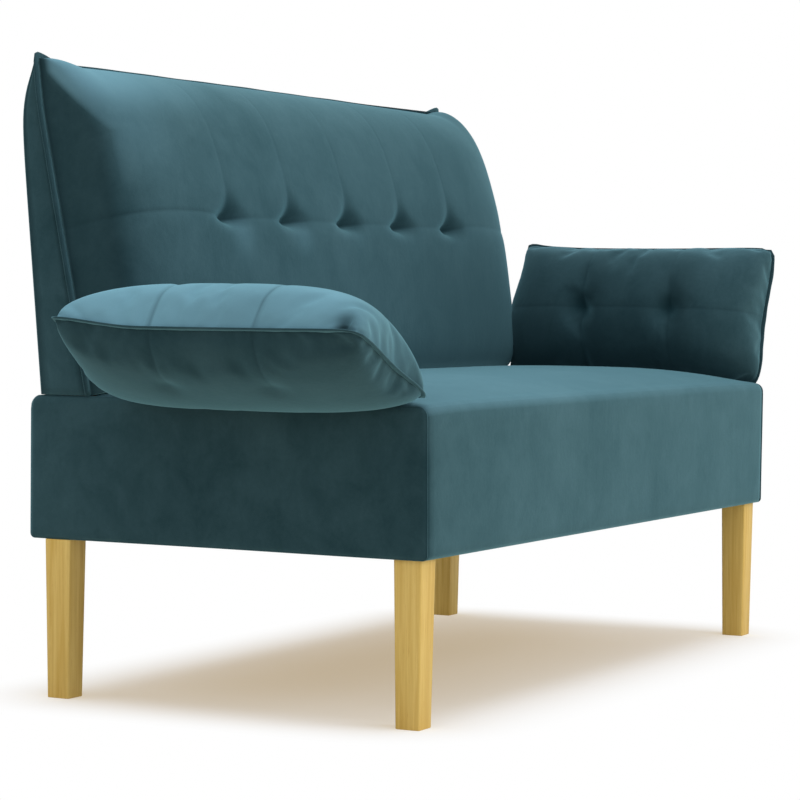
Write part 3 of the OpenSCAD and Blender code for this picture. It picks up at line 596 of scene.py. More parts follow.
def wood(name, light, dark, band=1.0, turn=(0.0, 0.0, 0.0), coat=0.0):
    return material(
        name, wood_grain,
        {"Light": opaque(light), "Dark": opaque(dark), "Band": band, "Turn": turn},
        0.25, 0.0006, Specular_IOR_Level=0.4, Coat_Weight=coat, Coat_Roughness=0.35)


def woven(name, thread, shadow, threads):
    return material(
        name, plain_weave,
        {"Thread": opaque(thread), "Shadow": opaque(shadow), "Threads": threads},
        0.5, 0.0008, Specular_IOR_Level=0.2)


def metal(name, bright, dull, polish):
    return material(
        name, handled_metal, {"Bright": opaque(bright), "Dull": opaque(dull), "Polish": polish},
        0.15, 0.0003, Metallic=1.0)


def finish(obj, surface, body, slot, *nodes):
    """Gives a piece its material and its body, and hides the nodes that it stands for; the slot is
    not used.
    """
    obj.data.materials.clear()
    obj.data.materials.append(surface)
    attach(obj, body)
    if nodes:
        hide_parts(*nodes)


# Backrest


def back_half(v):
    """Half the backrest's width, a little more towards the top."""
    return HALF_W + BACK_EAR_OUT * max(0.0, v) ** 8


def back_curl(w):
    """How far the seam bends forward near the top."""
    return BACK_CURL * (max(0.0, w - CURL_START) / CURL_SPAN) ** 2


def back_top(u):
    """Height of the top seam: a faint arch between two raised corners."""
    return BACK_H + BACK_TOP_RISE * (1 - u * u) + BACK_EAR * rise(abs(u), 0.89, 0.985)


def back_row(x):
    """Height of the row of tufts and its seam, which bows up beyond the last tufts."""
    beyond = max(0.0, abs(x) - 2 * TUFT_PITCH) / (HALF_W - 2 * TUFT_PITCH)
    return TUFT_ROW + ROW_BOW * math.sin(math.pi * min(1.0, beyond))


def back_w(u, v):
    """Height on the backrest: v runs from its foot at -1 over the row at 0 to its top at 1."""
    row = back_row(u * HALF_W)
    return row * (1.0 + v) if v < 0 else mix(row, back_top(u), v)


def nearest_tuft(x):
    """Where across the backrest the tuft nearest to x lies."""
    return max(-2, min(2, round(x / TUFT_PITCH))) * TUFT_PITCH


def from_tuft(x, w):
    """How far a point of the backrest lies across and up from the nearest tuft."""
    return x - nearest_tuft(x), w - back_row(x)


def back_quilt(x, w):
    """How far the cover is drawn in around its seams and tufts: slowly from above each tuft,
    in a fold that narrows upwards, and steeply from below."""
    dx, dw = from_tuft(x, w)
    lines = 0.0002 * (1.0 if dw > 0 else 0.0) * valley(dx, 0.009)
    row = ROW_DRAW * valley(dw, 0.010 if dw < 0 else 0.026)
    if dw > 0:
        fading = math.exp(-dw / TUFT_FADE)
        fold = TUFT_DRAW * fading * valley(dx, 0.010 + 0.022 * fading)
    else:
        fold = TUFT_DRAW * valley(dw, 0.011) * valley(dx, 0.032)
    return max(lines, row) + fold


BACK_ACROSS, BACK_LOW, BACK_HIGH = 0.83, 0.70, 0.62


def back_share(t):
    """Share up or down from the tuft row and share of the crown, for t over -1..1."""
    if t < 0:
        return wrap(t, 6.0, BACK_LOW)
    u, full = wrap(t, 2.7, BACK_HIGH)
    return u, bulge(u, 4.0, 0.58)


def back_front(s, t, inset=0.0):
    u, full_u = wrap(s, 8.0, BACK_ACROSS)
    v, full_v = back_share(t)
    x, w = u * back_half(v), back_w(u, v)
    full = full_u * full_v
    crown = BACK_CROWN + 0.0005 + 0.0095 * valley(w - 0.24, 0.11) - inset - back_quilt(x, w)
    n = SEAM_N + (1 - full) * back_curl(w) + full * crown
    inner = 1 - 0.0045 * (1 - full) / HALF_W
    return lean(x * inner, w - 0.004 * (1 - full) * rise(w, 0.3, 0.5), n), (x, w)


def eased(x, w, corner_x, corner_w, r):
    """A point of a rim, drawn in where it is near the corner so that the corner is round."""
    dx, dw = corner_x - abs(x), corner_w - w
    if dx < r and dw < r:
        a, b = 1 - max(0.0, dx) / r, 1 - max(0.0, dw) / r
        a, b = a * math.sqrt(1 - b * b / 2), b * math.sqrt(1 - a * a / 2)
        return math.copysign(corner_x - r + a * r, x), corner_w - r + b * r
    return x, w


class SOFA_OT_backrest(bpy.types.Operator):
    """Make the tufted front cushion, the rear cover and the welt of the backrest"""

    bl_idname = "sofa.backrest"
    bl_label = "Backrest"

    def execute(self, context):
        shape = context.scene.sofa_shape
        self.cushion(shape)
        self.rear_cover(shape)
        self.welt(shape)
        return {"FINISHED"}

    def cushion(self, shape):
        tufts = [unwrap(k * TUFT_PITCH / HALF_W, 8.0, BACK_ACROSS) for k in range(-2, 3)]
        cell = shape.back_cell
        us = spread(lambda s: back_front(s, 0.3)[0], [-1, *tufts, 1], cell)
        vs = spread(lambda t: back_front(tufts[2] / 2 + 0.1, t)[0], [-1, 0, 1], cell)
        bm = grid(us, vs, lambda s, t: back_front(s, t, shape.back_inset))
        held = {}
        for v in bm.verts:
            x, w = (v[layer] for layer in bm.verts.layers.float.values())
            dx, dw = from_tuft(x, w)
            away = math.hypot(dx, dw)
            weight = max(1.0 if away < TUFT_HOLD else 0.0,
                         0.25 * valley(dw, 0.005) * valley(dx, 0.040),
                         1.0 if v.is_boundary else 0.0)
            if weight > 0.02:
                held[v.index] = weight
        obj = piece("backrest_cushion", bm)
        swell(obj, held, shape.pressure, shape.back_limit)
        subdivide(obj)

        fronts = [(SEAM_Y - v.co.y) * math.cos(RAKE) + (v.co.z - SEAM_Z) * math.sin(RAKE)
                  for v in obj.data.vertices]

        def depth(x, w, k):
            """The stitches of the row, the faint seams above it and the bottoms of the tufts."""
            dx, dw = from_tuft(x, w)
            away = math.hypot(dx, dw)
            line = (0.12 if dw > 0 else 0.0) * valley(dx, 0.0035) * bulge(w / BACK_H, 30, 1)
            row = valley(dw, 0.0035) * (0.5 + 0.5 * valley(dx, 0.04))
            return 0.0013 * max(line, row) + 0.003 * valley(away, 0.007)

        def marks(x, w, k):
            """Dark seams, with painted shade along the gap at the rim and in the row's crease by the
            tufts, and painted shade in the pits and creases of the tufts.
            """
            dx, dw = from_tuft(x, w)
            line = (0.15 if dw > 0 else 0.0) * valley(dx, 0.0026)
            # The row's seam: darker by the tufts, where it is painted shade in its crease, and
            # towards the left end
            open_seam = 0.35 + 0.30 * rise(-x, 0.39, 0.46) + 0.60 * valley(dx, 0.035)
            row = valley(dw, 0.0028) * open_seam * (1 - rise(abs(x), 0.640, 0.672))
            crease = valley(dx - 0.005, 0.006) * (1 - rise(dw, 0.0, 0.075)) if dw > 0 else 0.0
            pit = valley(math.hypot(dx - 0.012, dw - 0.010), 0.018) if dw > -0.004 else 0.0
            # Painted shade in the gap between the cushion and its welt, at the flanks
            groove_shade = 0.95 * valley(fronts[k] - back_curl(w), 0.010) * rise(abs(x), 0.60, 0.66)
            return max(line, min(1.0, row), groove_shade), min(1.2, 0.75 * pit + 0.7 * crease)

        def nap_and_painted_light(x, w, k):
            """Painted light: painted highlights on the left shoulder and beside the tufts, and
            painted shade low down, towards the right and on the flank.
            """
            limit = mix(0.020, 0.098, min(1.0, max(0.0, (0.492 - w) / 0.11)))
            ahead = rise(fronts[k], limit - 0.012, limit + 0.014)
            ridge = rise(-x, 0.44, 0.62) * rise(w, 0.27, 0.42) * ahead
            patch = rise(-x, 0.25, 0.55) * rise(w, 0.40, 0.48) * ahead
            dark = (0.27 * rise(x, -0.4, 0.50)
                    + 0.60 * rise(x, -0.1, 0.60) * (1 - rise(w, 0.10, 0.36)))
            flank = 0.40 * rise(-x, 0.50, 0.60) * (1 - ahead)
            dx, dw = from_tuft(x, w)
            # A painted highlight below and to the right of each tuft
            puff = 0.20 * valley(dx - 0.026, 0.034) * valley(dw + 0.028, 0.034)
            return 0.25 * ridge + 0.45 * patch + puff - dark - flank

        press(obj, marks, depth, nap_and_painted_light)
        reworked(obj, closed_flat)
        finish(obj, velvet(), "base", "velvet", "back_front_cover", "back_foam")

    def rear_cover(self, shape):
        def wedge(t):
            """How deep the backrest is behind its seam, from its foot to its top."""
            return mix(WEDGE_FOOT, WEDGE_HEAD, t) * (1.0 - t ** 14) ** 1.4

        def place(s, v):
            half, deep = back_half(v), wedge(v)
            r = min(GUSSET_R, 0.48 * deep)
            a = abs(s)
            if a <= 1:
                x, y = (half - r) * a, deep
                bow = math.sin(math.pi * min(1.0, v * 1.02)) ** 0.5 * (v < 0.98)
                y += 0.0025 * bulge(a, 6, 1) * bow
            elif a <= 2:
                turn = (a - 1) * math.pi / 2
                x, y = half - r + r * math.sin(turn), deep - r + r * math.cos(turn)
            else:
                x, y = half, (deep - r) * (3 - a)
            w = v * back_top(min(1.0, x / half))
            seam = lean(math.copysign(x, s), w, back_curl(w) - SEAM_N)
            return Vector((seam.x, seam.y + y, max(seam.z, SEAM_Z))), (s, v)

        us = spread(lambda s: place(s, 0.4)[0], [3, 2, 1, -1, -2, -3], PANEL_CELL)
        us = sorted(set(us) | {1.33, 1.66, -1.33, -1.66}, reverse=True)
        vs = spread(lambda v: place(0.1, v)[0], [0, 1], PANEL_CELL)
        bm = grid(us, vs, place)
        obj = piece("backrest_rear_cover", bm)
        press(obj, lambda s, v, k: (valley(abs(s) - 2, 0.035), 0.0),
              lambda s, v, k: 0.0009 * valley(abs(s) - 2, 0.05))
        thickened(obj, shape.cover_thickness)
        finish(obj, velvet(), "base", "velvet", "back_rear_cover")

    def welt(self, shape):
        def rim(t, o):
            """The rim at t: 0..1 up the left side, 1..2 along the top, 2..3 down the right."""
            corner = back_half(1) + o, back_top(1) + o, BACK_CORNER_R
            if 1 < t <= 2:
                u = 2 * t - 3
                o *= 1 - 0.55 * bulge(u, 20, 1) * (o > 0)
                return eased(u * corner[0], back_top(u) + o, *corner)
            side, v = (-1, 2 * t - 1) if t <= 1 else (1, 5 - 2 * t)
            high = back_w(1, v) + o * max(0.0, v) ** 30
            return eased(side * (back_half(v) + o), high, *corner)

        def place(t, o, n):
            wave = 0.0004 * math.sin(t * 23.0) + 0.0003 * math.sin(t * 57.0)
            x, w = rim(t, o + (wave if o > 0 else 0.0))
            return lean(x, w, n + 0.5 * wave + back_curl(w))

        ts = spread(lambda t: lean(*rim(t, 0), 0), [0, 1, 2, 3], WELT_CELL)
        section = folded(shape.welt_out, BACK_WELT_IN, shape.welt_thickness)
        obj = piece("backrest_welt", strip(ts, section, place))
        finish(obj, velvet("teal_welt_shaded", 0.8), "base", "welt_velvet", "back_welt")


# Seat box


def seat_z(x, y):
    """Height of the seat's crown, which dips to the backrest's foot."""
    t = ((y - SEAT_MID_Y) / (SEAT_MID_Y + HALF_D) if y < SEAT_MID_Y
         else (y - SEAT_MID_Y) / (SEAM_Y + 0.060 - SEAT_MID_Y))
    crown = SEAT_CROWN * bulge(x / HALF_W, 10, 0.7) * bulge(t, 3, 1)
    return BOX_TOP + min(crown, max(0.0, (SEAM_Y - y) * math.tan(RAKE) - 0.001))


def box_spread(y, z):
    """How much wider than the frame the padded box is on each side, most at its front."""
    return BOX_SPREAD * rise(-y, -0.05, 0.28) * mix(0.7, 1.0, rise(z, BOX_LOW, BOX_TOP))


def seat_point(x, s):
    """The seat's cover at x: s 0..1 over the top, 1..2 over the front edge, 2..3 down the
    front, 3..4 round the lower edge, 4..5 under the box."""
    rear, edge = SEAM_Y - 0.008, FRONT_R - HALF_D
    high = seat_z(x, edge)
    if s <= 1:
        y = mix(rear, edge, s)
        return Vector((x, y, seat_z(x, y)))
    if s <= 2:
        a = (s - 1) * math.pi / 2
        return Vector((x, edge - FRONT_R * math.sin(a), high - FRONT_R + FRONT_R * math.cos(a)))
    if s <= 3:
        z = mix(high - FRONT_R, BOX_LOW + PANEL_LOW_R, s - 2)
        return Vector((x, -HALF_D, z))
    if s <= 4:
        a = (s - 3) * math.pi / 2
        r = PANEL_LOW_R
        return Vector((x, -HALF_D + r - r * math.cos(a), BOX_LOW + r - r * math.sin(a)))
    return Vector((x, mix(-HALF_D + PANEL_LOW_R, -HALF_D + HEM, s - 4), BOX_LOW))


def rounded(y, z, y0, y1, z0, z1, radii):
    """A point of the rectangle y0..y1 by z0..z1, drawn in so that its corners are round; radii
    are those of the corners low front, low rear, high front and high rear."""
    front, low = y < (y0 + y1) / 2, z < (z0 + z1) / 2
    r = radii[(0 if low else 2) + (0 if front else 1)]
    cy = y0 + r if front else y1 - r
    cz = z0 + r if low else z1 - r
    a = (cy - y if front else y - cy) / r
    b = (cz - z if low else z - cz) / r
    if a > 0 and b > 0:
        a, b = a * math.sqrt(1 - b * b / 2), b * math.sqrt(1 - a * a / 2)
        y = cy + (-a if front else a) * r
        z = cz + (-b if low else b) * r
    return y, z


def panel_lines(place, at, cell):
    """Lines across a panel of the seat box, closer by its two side seams."""
    lines = spread(lambda t: place(t, at)[0], [-1, 0, 1], cell)
    return with_edges(lines, COVER_X, (1.5, 3, 5, 8), 0.010)


def panel_seams(x, s, k):
    """Marks of the seams at a panel's two sides."""
    return 0.8 * valley(COVER_X - abs(x), PANEL_SEAM), 0.0


class SOFA_OT_seat(bpy.types.Operator):
    """Make the seat cushion, the panels of the seat box and the cloth under it"""

    bl_idname = "sofa.seat"
    bl_label = "Seat"

    def execute(self, context):
        shape = context.scene.sofa_shape
        self.cushion(shape)
        self.side_panels(shape)
        self.rear_panel(shape)
        self.under_cloth(shape)
        return {"FINISHED"}

    def cushion(self, shape):
        def place(t, s):
            x = COVER_X * t
            p = seat_point(x, s)
            edge = 0.0035 * valley(COVER_X - abs(x), 0.005)
            if s < 2:
                p.z -= edge
            if 1 < s < 4:
                down = min(1.0, max(0.0, (s - 1.2) / 2.6))
                crown = shape.panel_crown * bulge(t, 12, 0.6) * math.sin(math.pi * down)
                p.y += edge * (s < 3.5) - crown
            p.x *= 1 + box_spread(p.y, p.z) / COVER_X
            return p, (x, s)

        vs = spread(lambda s: place(0.2, s)[0], [0, 1, 2, 3, 4, 5], PANEL_CELL)
        vs = sorted(set(vs) | {1.25, 1.5, 1.75, 3.33, 3.66}, reverse=True)
        bm = grid(panel_lines(place, 0.4, PANEL_CELL), vs, place)
        obj = piece("seat_cushion", bm)
        # Painted highlight on the seat's top and over its front edge, stronger towards the left
        press(obj, panel_seams, nap_and_painted_light=lambda x, s, k: (
            (0.05 + 0.17 * (1 - rise(x, -0.5, 0.4))) * (1 - rise(s, 1.6, 2.06))))
        reworked(obj, closed_flat)
        finish(obj, velvet(), "base", "velvet", "seat_cover", "seat_foam")

    def side_panels(self, shape):
        radii = (PANEL_LOW_R, PANEL_LOW_R, FRONT_R, PANEL_REAR_R)
        rear = HALF_D + REAR_PAD
        middle, half_high = (BOX_TOP + BOX_LOW) / 2, (BOX_TOP - BOX_LOW) / 2
        offsets = (1.5, 3, 4.5, 7)
        ys = with_edges([-1 + 2 * k / 56 for k in range(57)], HALF_D, offsets)
        zs = with_edges([-1 + 2 * k / 20 for k in range(21)], half_high, offsets)
        for side, name in ((-1, "left"), (1, "right")):
            def place(a, b):
                y, z = mix(-HALF_D, rear, (a + 1) / 2), mix(BOX_LOW, BOX_TOP, (b + 1) / 2)
                y2, z2 = rounded(y, z, -HALF_D, rear, BOX_LOW, BOX_TOP, radii)
                near = min(HALF_D + y, rear - y, half_high - abs(z - middle))
                out = HALF_W - 0.0022 * valley(near, 0.004)
                out += shape.panel_crown * bulge(a, 14, 1) * bulge(b, 6, 1) + box_spread(y2, z2)
                return Vector((side * out, y2, z2)), (near, 0.0)

            bm = grid(ys, zs, place)
            if side < 0:
                bmesh.ops.reverse_faces(bm, faces=bm.faces)
            obj = piece("seat_%s_side" % name, bm)
            press(obj, lambda near, b, k: (0.7 * valley(near, PANEL_SEAM), 0.0))
            thickened(obj, shape.cover_thickness)
            finish(obj, velvet("teal_side_shaded", 0.95), "base", "velvet", "seat_%s_panel" % name)

    def rear_panel(self, shape):
        rear, low, high = HALF_D + REAR_PAD, PANEL_LOW_R, PANEL_REAR_R

        def place(t, s):
            x = COVER_X * t
            edge = 0.0030 * valley(COVER_X - abs(x), 0.005)
            if s <= 1:
                y, z = mix(rear - HEM, rear - low, s), BOX_LOW
            elif s <= 2:
                a = (s - 1) * math.pi / 2
                y = rear - low + low * math.sin(a)
                z = BOX_LOW + low - low * math.cos(a)
            elif s <= 3:
                y, z = rear, mix(BOX_LOW + low, BOX_TOP - high, s - 2)
                y += shape.panel_crown * bulge(t, 12, 0.6) * math.sin(math.pi * (s - 2))
            elif s <= 4:
                a = (s - 3) * math.pi / 2
                y = rear - high + high * math.cos(a)
                z = BOX_TOP - high + high * math.sin(a)
            else:
                y, z = mix(rear - high, rear - HEM, s - 4), BOX_TOP
            return Vector((x, y - edge * (1 < s < 4), z - edge * (s >= 3.5))), (x, s)

        us = panel_lines(place, 2.5, REAR_CELL)[::-1]
        vs = spread(lambda s: place(0.2, s)[0], [0, 1, 2, 3, 4, 5], PANEL_CELL)
        vs = sorted(set(vs) | {1.33, 1.66, 3.25, 3.5, 3.75})
        obj = piece("seat_rear_side", grid(us, vs, place))
        press(obj, panel_seams)
        thickened(obj, shape.cover_thickness)
        finish(obj, velvet("teal_side_shaded", 0.95), "base", "velvet", "seat_rear_panel")

    def under_cloth(self, shape):
        low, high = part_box("dust_cloth")

        def place(a, b):
            x = mix(low[0], high[0], (a + 1) / 2)
            y = mix(low[1], high[1], (b + 1) / 2)
            sag = (0.0012 * math.sin(x * 9.0 + 1.0) * math.sin(y * 13.0)
                   * bulge(a, 8, 1) * bulge(b, 8, 1))
            return Vector((x, y, low[2] + 0.0009 + sag * 0.6)), ()

        lines = [-1 + 2 * k / 60 for k in range(61)]
        obj = piece("under_cloth", grid(lines, lines[::2], place, layers=()))
        finish(obj, woven("black_felt", (0.045, 0.045, 0.048), (0.012, 0.012, 0.013), 700.0),
               "base", "dust_cloth", "dust_cloth")


# Arms


def arm_corner(rear):
    """How far a corner of the free edge stands out."""
    return ARM_EAR if rear else -ARM_FRONT_ROUND


def arm_side(v, rear):
    """How far an end seam lies from the middle; v runs from the root at -1 to the edge at 1."""
    low = 1 - rise(v, -0.25, 0.75)
    half = ARM_HALF - ARM_DRAW * (1 - v * v) + (0.019 * low - 0.003 if rear else -0.008 * low)
    return half + (arm_corner(rear) * v ** 10 if v > 0 else -ARM_ROOT_ROUND * v ** 6 * (not rear))


def arm_high(u):
    """How high the free edge lies, at u over -1..1 along the arm."""
    return ARM_REACH - ARM_DRAW * (1 - u * u) + arm_corner(u > 0) * abs(u) ** 12


def arm_curl(a, b):
    """How far the seam bends inwards at the rear corner of the free edge."""
    return -0.012 * rise(a, 0.10, 0.25) * rise(b, 0.10, 0.23)


def arm_level(u, v):
    """Height on the arm: v runs from the root at -1 over the row at 0 to the edge at 1."""
    return ARM_MID_S + v * (ARM_MID_S + ARM_ROOT) if v < 0 else mix(ARM_MID_S, arm_high(u), v)


def arm_quilt(a, b, deep, outer):
    """How far the cover is drawn in along its seams and to its tufts, deep at their bottoms."""
    da, db = abs(a) - ARM_TUFT, b - (ARM_DIMPLE_S if outer else ARM_MID_S)
    away = math.hypot(da, db)
    lines = 0.036 * deep * max(valley(da, 0.009), valley(db, 0.009))
    return lines + 0.75 * deep * valley(away, 0.017) + 0.25 * deep * valley(away, 0.040)


ARM_ACROSS = 0.62
ARM_FULL = (3.0, 3.6)


def arm_face(s, t, side, inset=0.0):
    """A point of an arm's inner (side -1) or outer (side 1) face; s and t run over -1..1."""
    u, full_u = wrap(s, ARM_FULL[s > 0], ARM_ACROSS)
    angle = t * math.pi / 2
    v = math.sin(angle)
    full_v = max(0.0, math.cos(angle)) ** (1.24 if v < 0 else 0.9)
    a, b = u * arm_side(v, u > 0), arm_level(u, v)
    crown, deep = (ARM_CROWN_IN, 0.021) if side < 0 else (ARM_CROWN_OUT, 0.005)
    n = full_u * full_v * (crown + 0.0018 - inset - arm_quilt(a, b, deep, side > 0))
    return Vector((side * n + arm_curl(a, b) * (1 - full_u * full_v), a + ARM_SHIFT, b)), (a, b)


def tilted(bm, left):
    """Puts a mesh of the arm's own frame where the arm is, on the left side mirrored."""
    turn = Matrix.Rotation(LEFT_TILT if left else RIGHT_TILT, 4, "Y")
    bmesh.ops.transform(bm, verts=bm.verts, matrix=Matrix.Translation(HINGE) @ turn)
    if left:
        bmesh.ops.transform(bm, verts=bm.verts, matrix=Matrix.Diagonal((-1, 1, 1, 1)))
        bmesh.ops.reverse_faces(bm, faces=bm.faces)


class SOFA_OT_arms(bpy.types.Operator):
    """Make the cushions and welts of both folding arms"""

    bl_idname = "sofa.arms"
    bl_label = "Arms"

    def execute(self, context):
        shape = context.scene.sofa_shape
        model = self.cushion(shape)
        for left in (True, False):
            self.place_cushion(model, left)
            self.welt(shape, left)
        bpy.data.meshes.remove(model)
        return {"FINISHED"}

    def cushion(self, shape):
        """The cushion in the arm's own frame, swollen once for both arms."""
        tufts = [unwrap(k * ARM_TUFT / ARM_HALF, ARM_FULL[k > 0], ARM_ACROSS) for k in (-1, 1)]
        cell = shape.arm_cell
        us = spread(lambda s: arm_face(s, 0.2, -1)[0], [-1, *tufts, 1], cell)
        vs = spread(lambda t: arm_face(0.05, t, -1)[0], [-1, 0, 1], cell)
        whole = bmesh.new()
        for side in (-1, 1):
            bm = grid(us, vs, lambda s, t: arm_face(s, t, side, shape.arm_inset))
            if side < 0:
                bmesh.ops.reverse_faces(bm, faces=bm.faces)
            half = bpy.data.meshes.new("half")
            bm.to_mesh(half)
            bm.free()
            whole.from_mesh(half)
            bpy.data.meshes.remove(half)
        bmesh.ops.remove_doubles(whole, verts=whole.verts, dist=2e-5)
        bmesh.ops.recalc_face_normals(whole, faces=whole.faces)
        across, up = whole.verts.layers.float["across"], whole.verts.layers.float["up"]
        held = {}
        for v in whole.verts:
            da, db = abs(v[across]) - ARM_TUFT, v[up] - ARM_MID_S
            rim = 1.0 if abs(v.co.x - arm_curl(v[across], v[up])) < 0.0006 else 0.0
            weight = max(1.0 if math.hypot(da, db) < TUFT_HOLD and v.co.x < 0 else 0.0, rim)
            if weight > 0:
                held[v.index] = weight
        obj = piece("arm_cushion_model", whole)
        swell(obj, held, shape.pressure, shape.arm_limit)
        subdivide(obj)
        mesh = obj.data
        bpy.data.objects.remove(obj)
        return mesh

    def place_cushion(self, model, left):
        side = "left" if left else "right"
        obj = linked(side + "_arm_cushion", model.copy())
        stores = [obj.data.attributes[name].data for name in ("across", "up")]
        fronts = [v.co.x - arm_curl(*(store[v.index].value for store in stores))
                  for v in obj.data.vertices]
        inner = [front < 0 for front in fronts]
        rows = [abs(front) for front in fronts]

        def depth(a, b, k):
            """The stitches, and on the left arm the puckers by the corner of its free edge."""
            da, db = abs(a) - ARM_TUFT, b - ARM_MID_S
            share = 0.6 if inner[k] else 0.5 * rise(b, 0.13, 0.20)
            line = max(valley(da, 0.004), 0.5 * valley(db, 0.004)) * share
            pucker = 0.0
            if left and inner[k]:
                pucker = 0.007 * valley(math.hypot(0.6 * (a + 0.221), b - 0.224), 0.007)
                slant = valley(a + 0.217 - 0.5 * (b - 0.185), 0.008)
                pucker += 0.004 * slant * valley(b - 0.185, 0.025)
            return 0.0010 * line * min(1.0, rows[k] / 0.01) + pucker

        def marks(a, b, k):
            """Dark seams, painted shade in the tufts and the outer dimples, and painted shade in the
            left arm's pucker.
            """
            da, db = abs(a) - ARM_TUFT, b - ARM_MID_S
            if inner[k]:
                above = 0.5 * (1 - rise(b, ARM_MID_S, ARM_MID_S + 0.05)) * (b > ARM_MID_S)
                upright = (0.8 if left else 0.3 + above) * valley(da, 0.0028)
                line = max(upright, 0.35 * valley(db, 0.0028))
                pit_shade = 1.5 * valley(math.hypot(da, db), 0.020)
            else:
                line = 0.6 * rise(b, 0.13, 0.20) * valley(da, 0.0028)
                pit_shade = 0.9 * valley(math.hypot(da * 0.5, b - ARM_DIMPLE_S), 0.006)
            rim = 0.8 * valley(rows[k], 0.002) * (1 - 0.7 * rise(b, 0.15, 0.20))
            if left and inner[k]:
                # Painted shade in the dimple of the pucker by the front corner of the free edge
                rim = max(rim, 1.9 * valley(math.hypot(0.50 * (a + 0.221), b - 0.2265), 0.0060))
            return max(line, rim), pit_shade

        def nap_and_painted_light(a, b, k):
            """Painted light: the left arm's inner face painted pale towards its free edge, its outer
            face painted dark; the right arm painted dark, most low down and least at its front end,
            with painted highlights on the puffs by its tufts and painted shade at and in front of
            them.
            """
            if left and inner[k]:
                even = 1 - 0.24 * valley(a + 0.07, 0.12) - 0.5 * rise(-a, 0.17, 0.235)
                return (0.36 * rise(b, 0.02, 0.10) + 0.64 * rise(b, 0.11, 0.20)) * even
            if left:
                return -0.36
            shade = -0.36 * (1 - rise(-a, 0.06, 0.20)) - 0.3 * (1 - rise(b, 0.0, 0.05))
            for tuft in (-ARM_TUFT, ARM_TUFT):
                side_way, up_way = a - tuft, b - ARM_MID_S
                shade += 0.30 * valley(side_way - 0.024, 0.022) * valley(up_way + 0.030, 0.024)
                shade += 0.14 * valley(side_way - 0.040, 0.030) * valley(up_way - 0.040, 0.034)
                shade -= 0.45 * valley(side_way + 0.008, 0.020) * valley(up_way, 0.022)
                if side_way < 0:
                    shade -= 0.25 * valley(side_way + 0.020, 0.026) * valley(up_way, 0.090)
            return shade

        press(obj, marks, depth, nap_and_painted_light)
        cutter = bmesh.new()
        for y in (-HINGE_SPREAD / 2, HINGE_SPREAD / 2):
            box = bmesh.ops.create_cube(cutter, size=1.0)["verts"]
            bmesh.ops.scale(cutter, verts=box, vec=SLOT_SIZE)
            bmesh.ops.translate(cutter, verts=box, vec=(SLOT_X, y, SLOT_Z))
        knife = piece("slot_cutter", cutter, smooth=False)
        cut = obj.modifiers.new("Hinge slots", "BOOLEAN")
        cut.operation = "DIFFERENCE"
        cut.solver = "EXACT"
        cut.object = knife
        bake(obj)
        bpy.data.objects.remove(knife)
        reworked(obj, lambda bm: tilted(bm, left))
        finish(obj, velvet(), side + "_arm", "velvet", side + "_arm_inner_cover",
               side + "_arm_outer_cover", side + "_arm_inner_foam", side + "_arm_outer_foam")

    def welt(self, shape, left):
        side = "left" if left else "right"

        def rim(t, o):
            """The rim at t: 0..1 up the front end, 1..2 along the free edge, 2..3 down the rear."""
            if 1 < t < 2:
                u = 2 * t - 3
                o *= 1 if left or o < 0 else 1 - 0.7 * bulge(u + 0.08, 16, 1)
                rear = u > 0
                a, b = u * (arm_side(1, rear) + o), arm_high(u) + o
            else:
                rear = t >= 2
                v = 5 - 2 * t if rear else 2 * t - 1
                a = (1 if rear else -1) * (arm_side(v, rear) + o)
                b = arm_level(1 if rear else -1, v) + o * max(0.0, v) ** 30
            return eased(a, b, arm_side(1, rear) + o, arm_high(1 if rear else -1) + o,
                         ARM_REAR_R if rear else ARM_FRONT_R)

        def place(t, o, n):
            wave = 0.0003 * math.sin(t * 17.0) + 0.0002 * math.sin(t * 41.0)
            a, b = rim(t, o + (wave if o > 0 else 0.0))
            return Vector((n + 0.5 * wave + arm_curl(a, b), a + ARM_SHIFT, b))

        ts = spread(lambda t: Vector((0, *rim(t, 0))), [0.0, 1, 2, 2.96], WELT_CELL)
        section = folded(shape.welt_out * 0.85, ARM_WELT_IN, shape.welt_thickness)
        bm = strip(ts, section, place)
        tilted(bm, left)
        obj = piece(side + "_arm_cushion_welt", bm)
        finish(obj, velvet("teal_welt_shaded", 0.8), side + "_arm", "welt_velvet", side + "_arm_welt")


class SOFA_OT_legs(bpy.types.Operator):
    """Make the four tapered oak legs with their bevelled edges"""

    bl_idname = "sofa.legs"
    bl_label = "Legs"

    def execute(self, context):
        shape = context.scene.sofa_shape
        colours = context.scene.sofa_colours
        oak = wood("oiled_oak", colours.oak_light, colours.oak_dark, coat=0.15)
        for name in ("front_left", "front_right", "rear_left", "rear_right"):
            low, high = (Vector(p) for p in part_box(name + "_leg"))
            middle = (low + high) / 2
            bm = bmesh.new()
            bmesh.ops.create_cube(bm, size=1.0)
            bmesh.ops.scale(bm, verts=bm.verts, vec=(high.x - low.x, high.y - low.y, LEG_TOP))
            foot = [v for v in bm.verts if v.co.z < 0]
            bmesh.ops.scale(bm, verts=foot, vec=(shape.leg_taper, shape.leg_taper, 1.0))
            bmesh.ops.translate(bm, verts=bm.verts, vec=(middle.x, middle.y, LEG_TOP / 2))
            upright = [e for e in bm.edges if abs(e.verts[0].co.z - e.verts[1].co.z) > 0.1]
            bevelled(bm, upright, shape.leg_bevel, 3)
            ends = [e for e in bm.edges if all(v.co.z < 0.001 for v in e.verts)]
            bevelled(bm, ends, FOOT_BEVEL, 2)
            obj = piece(name + "_oak_leg", bm)
            obj.data.set_sharp_from_angle(angle=math.radians(35))
            finish(obj, oak, "base", "oak", name + "_leg")
        return {"FINISHED"}


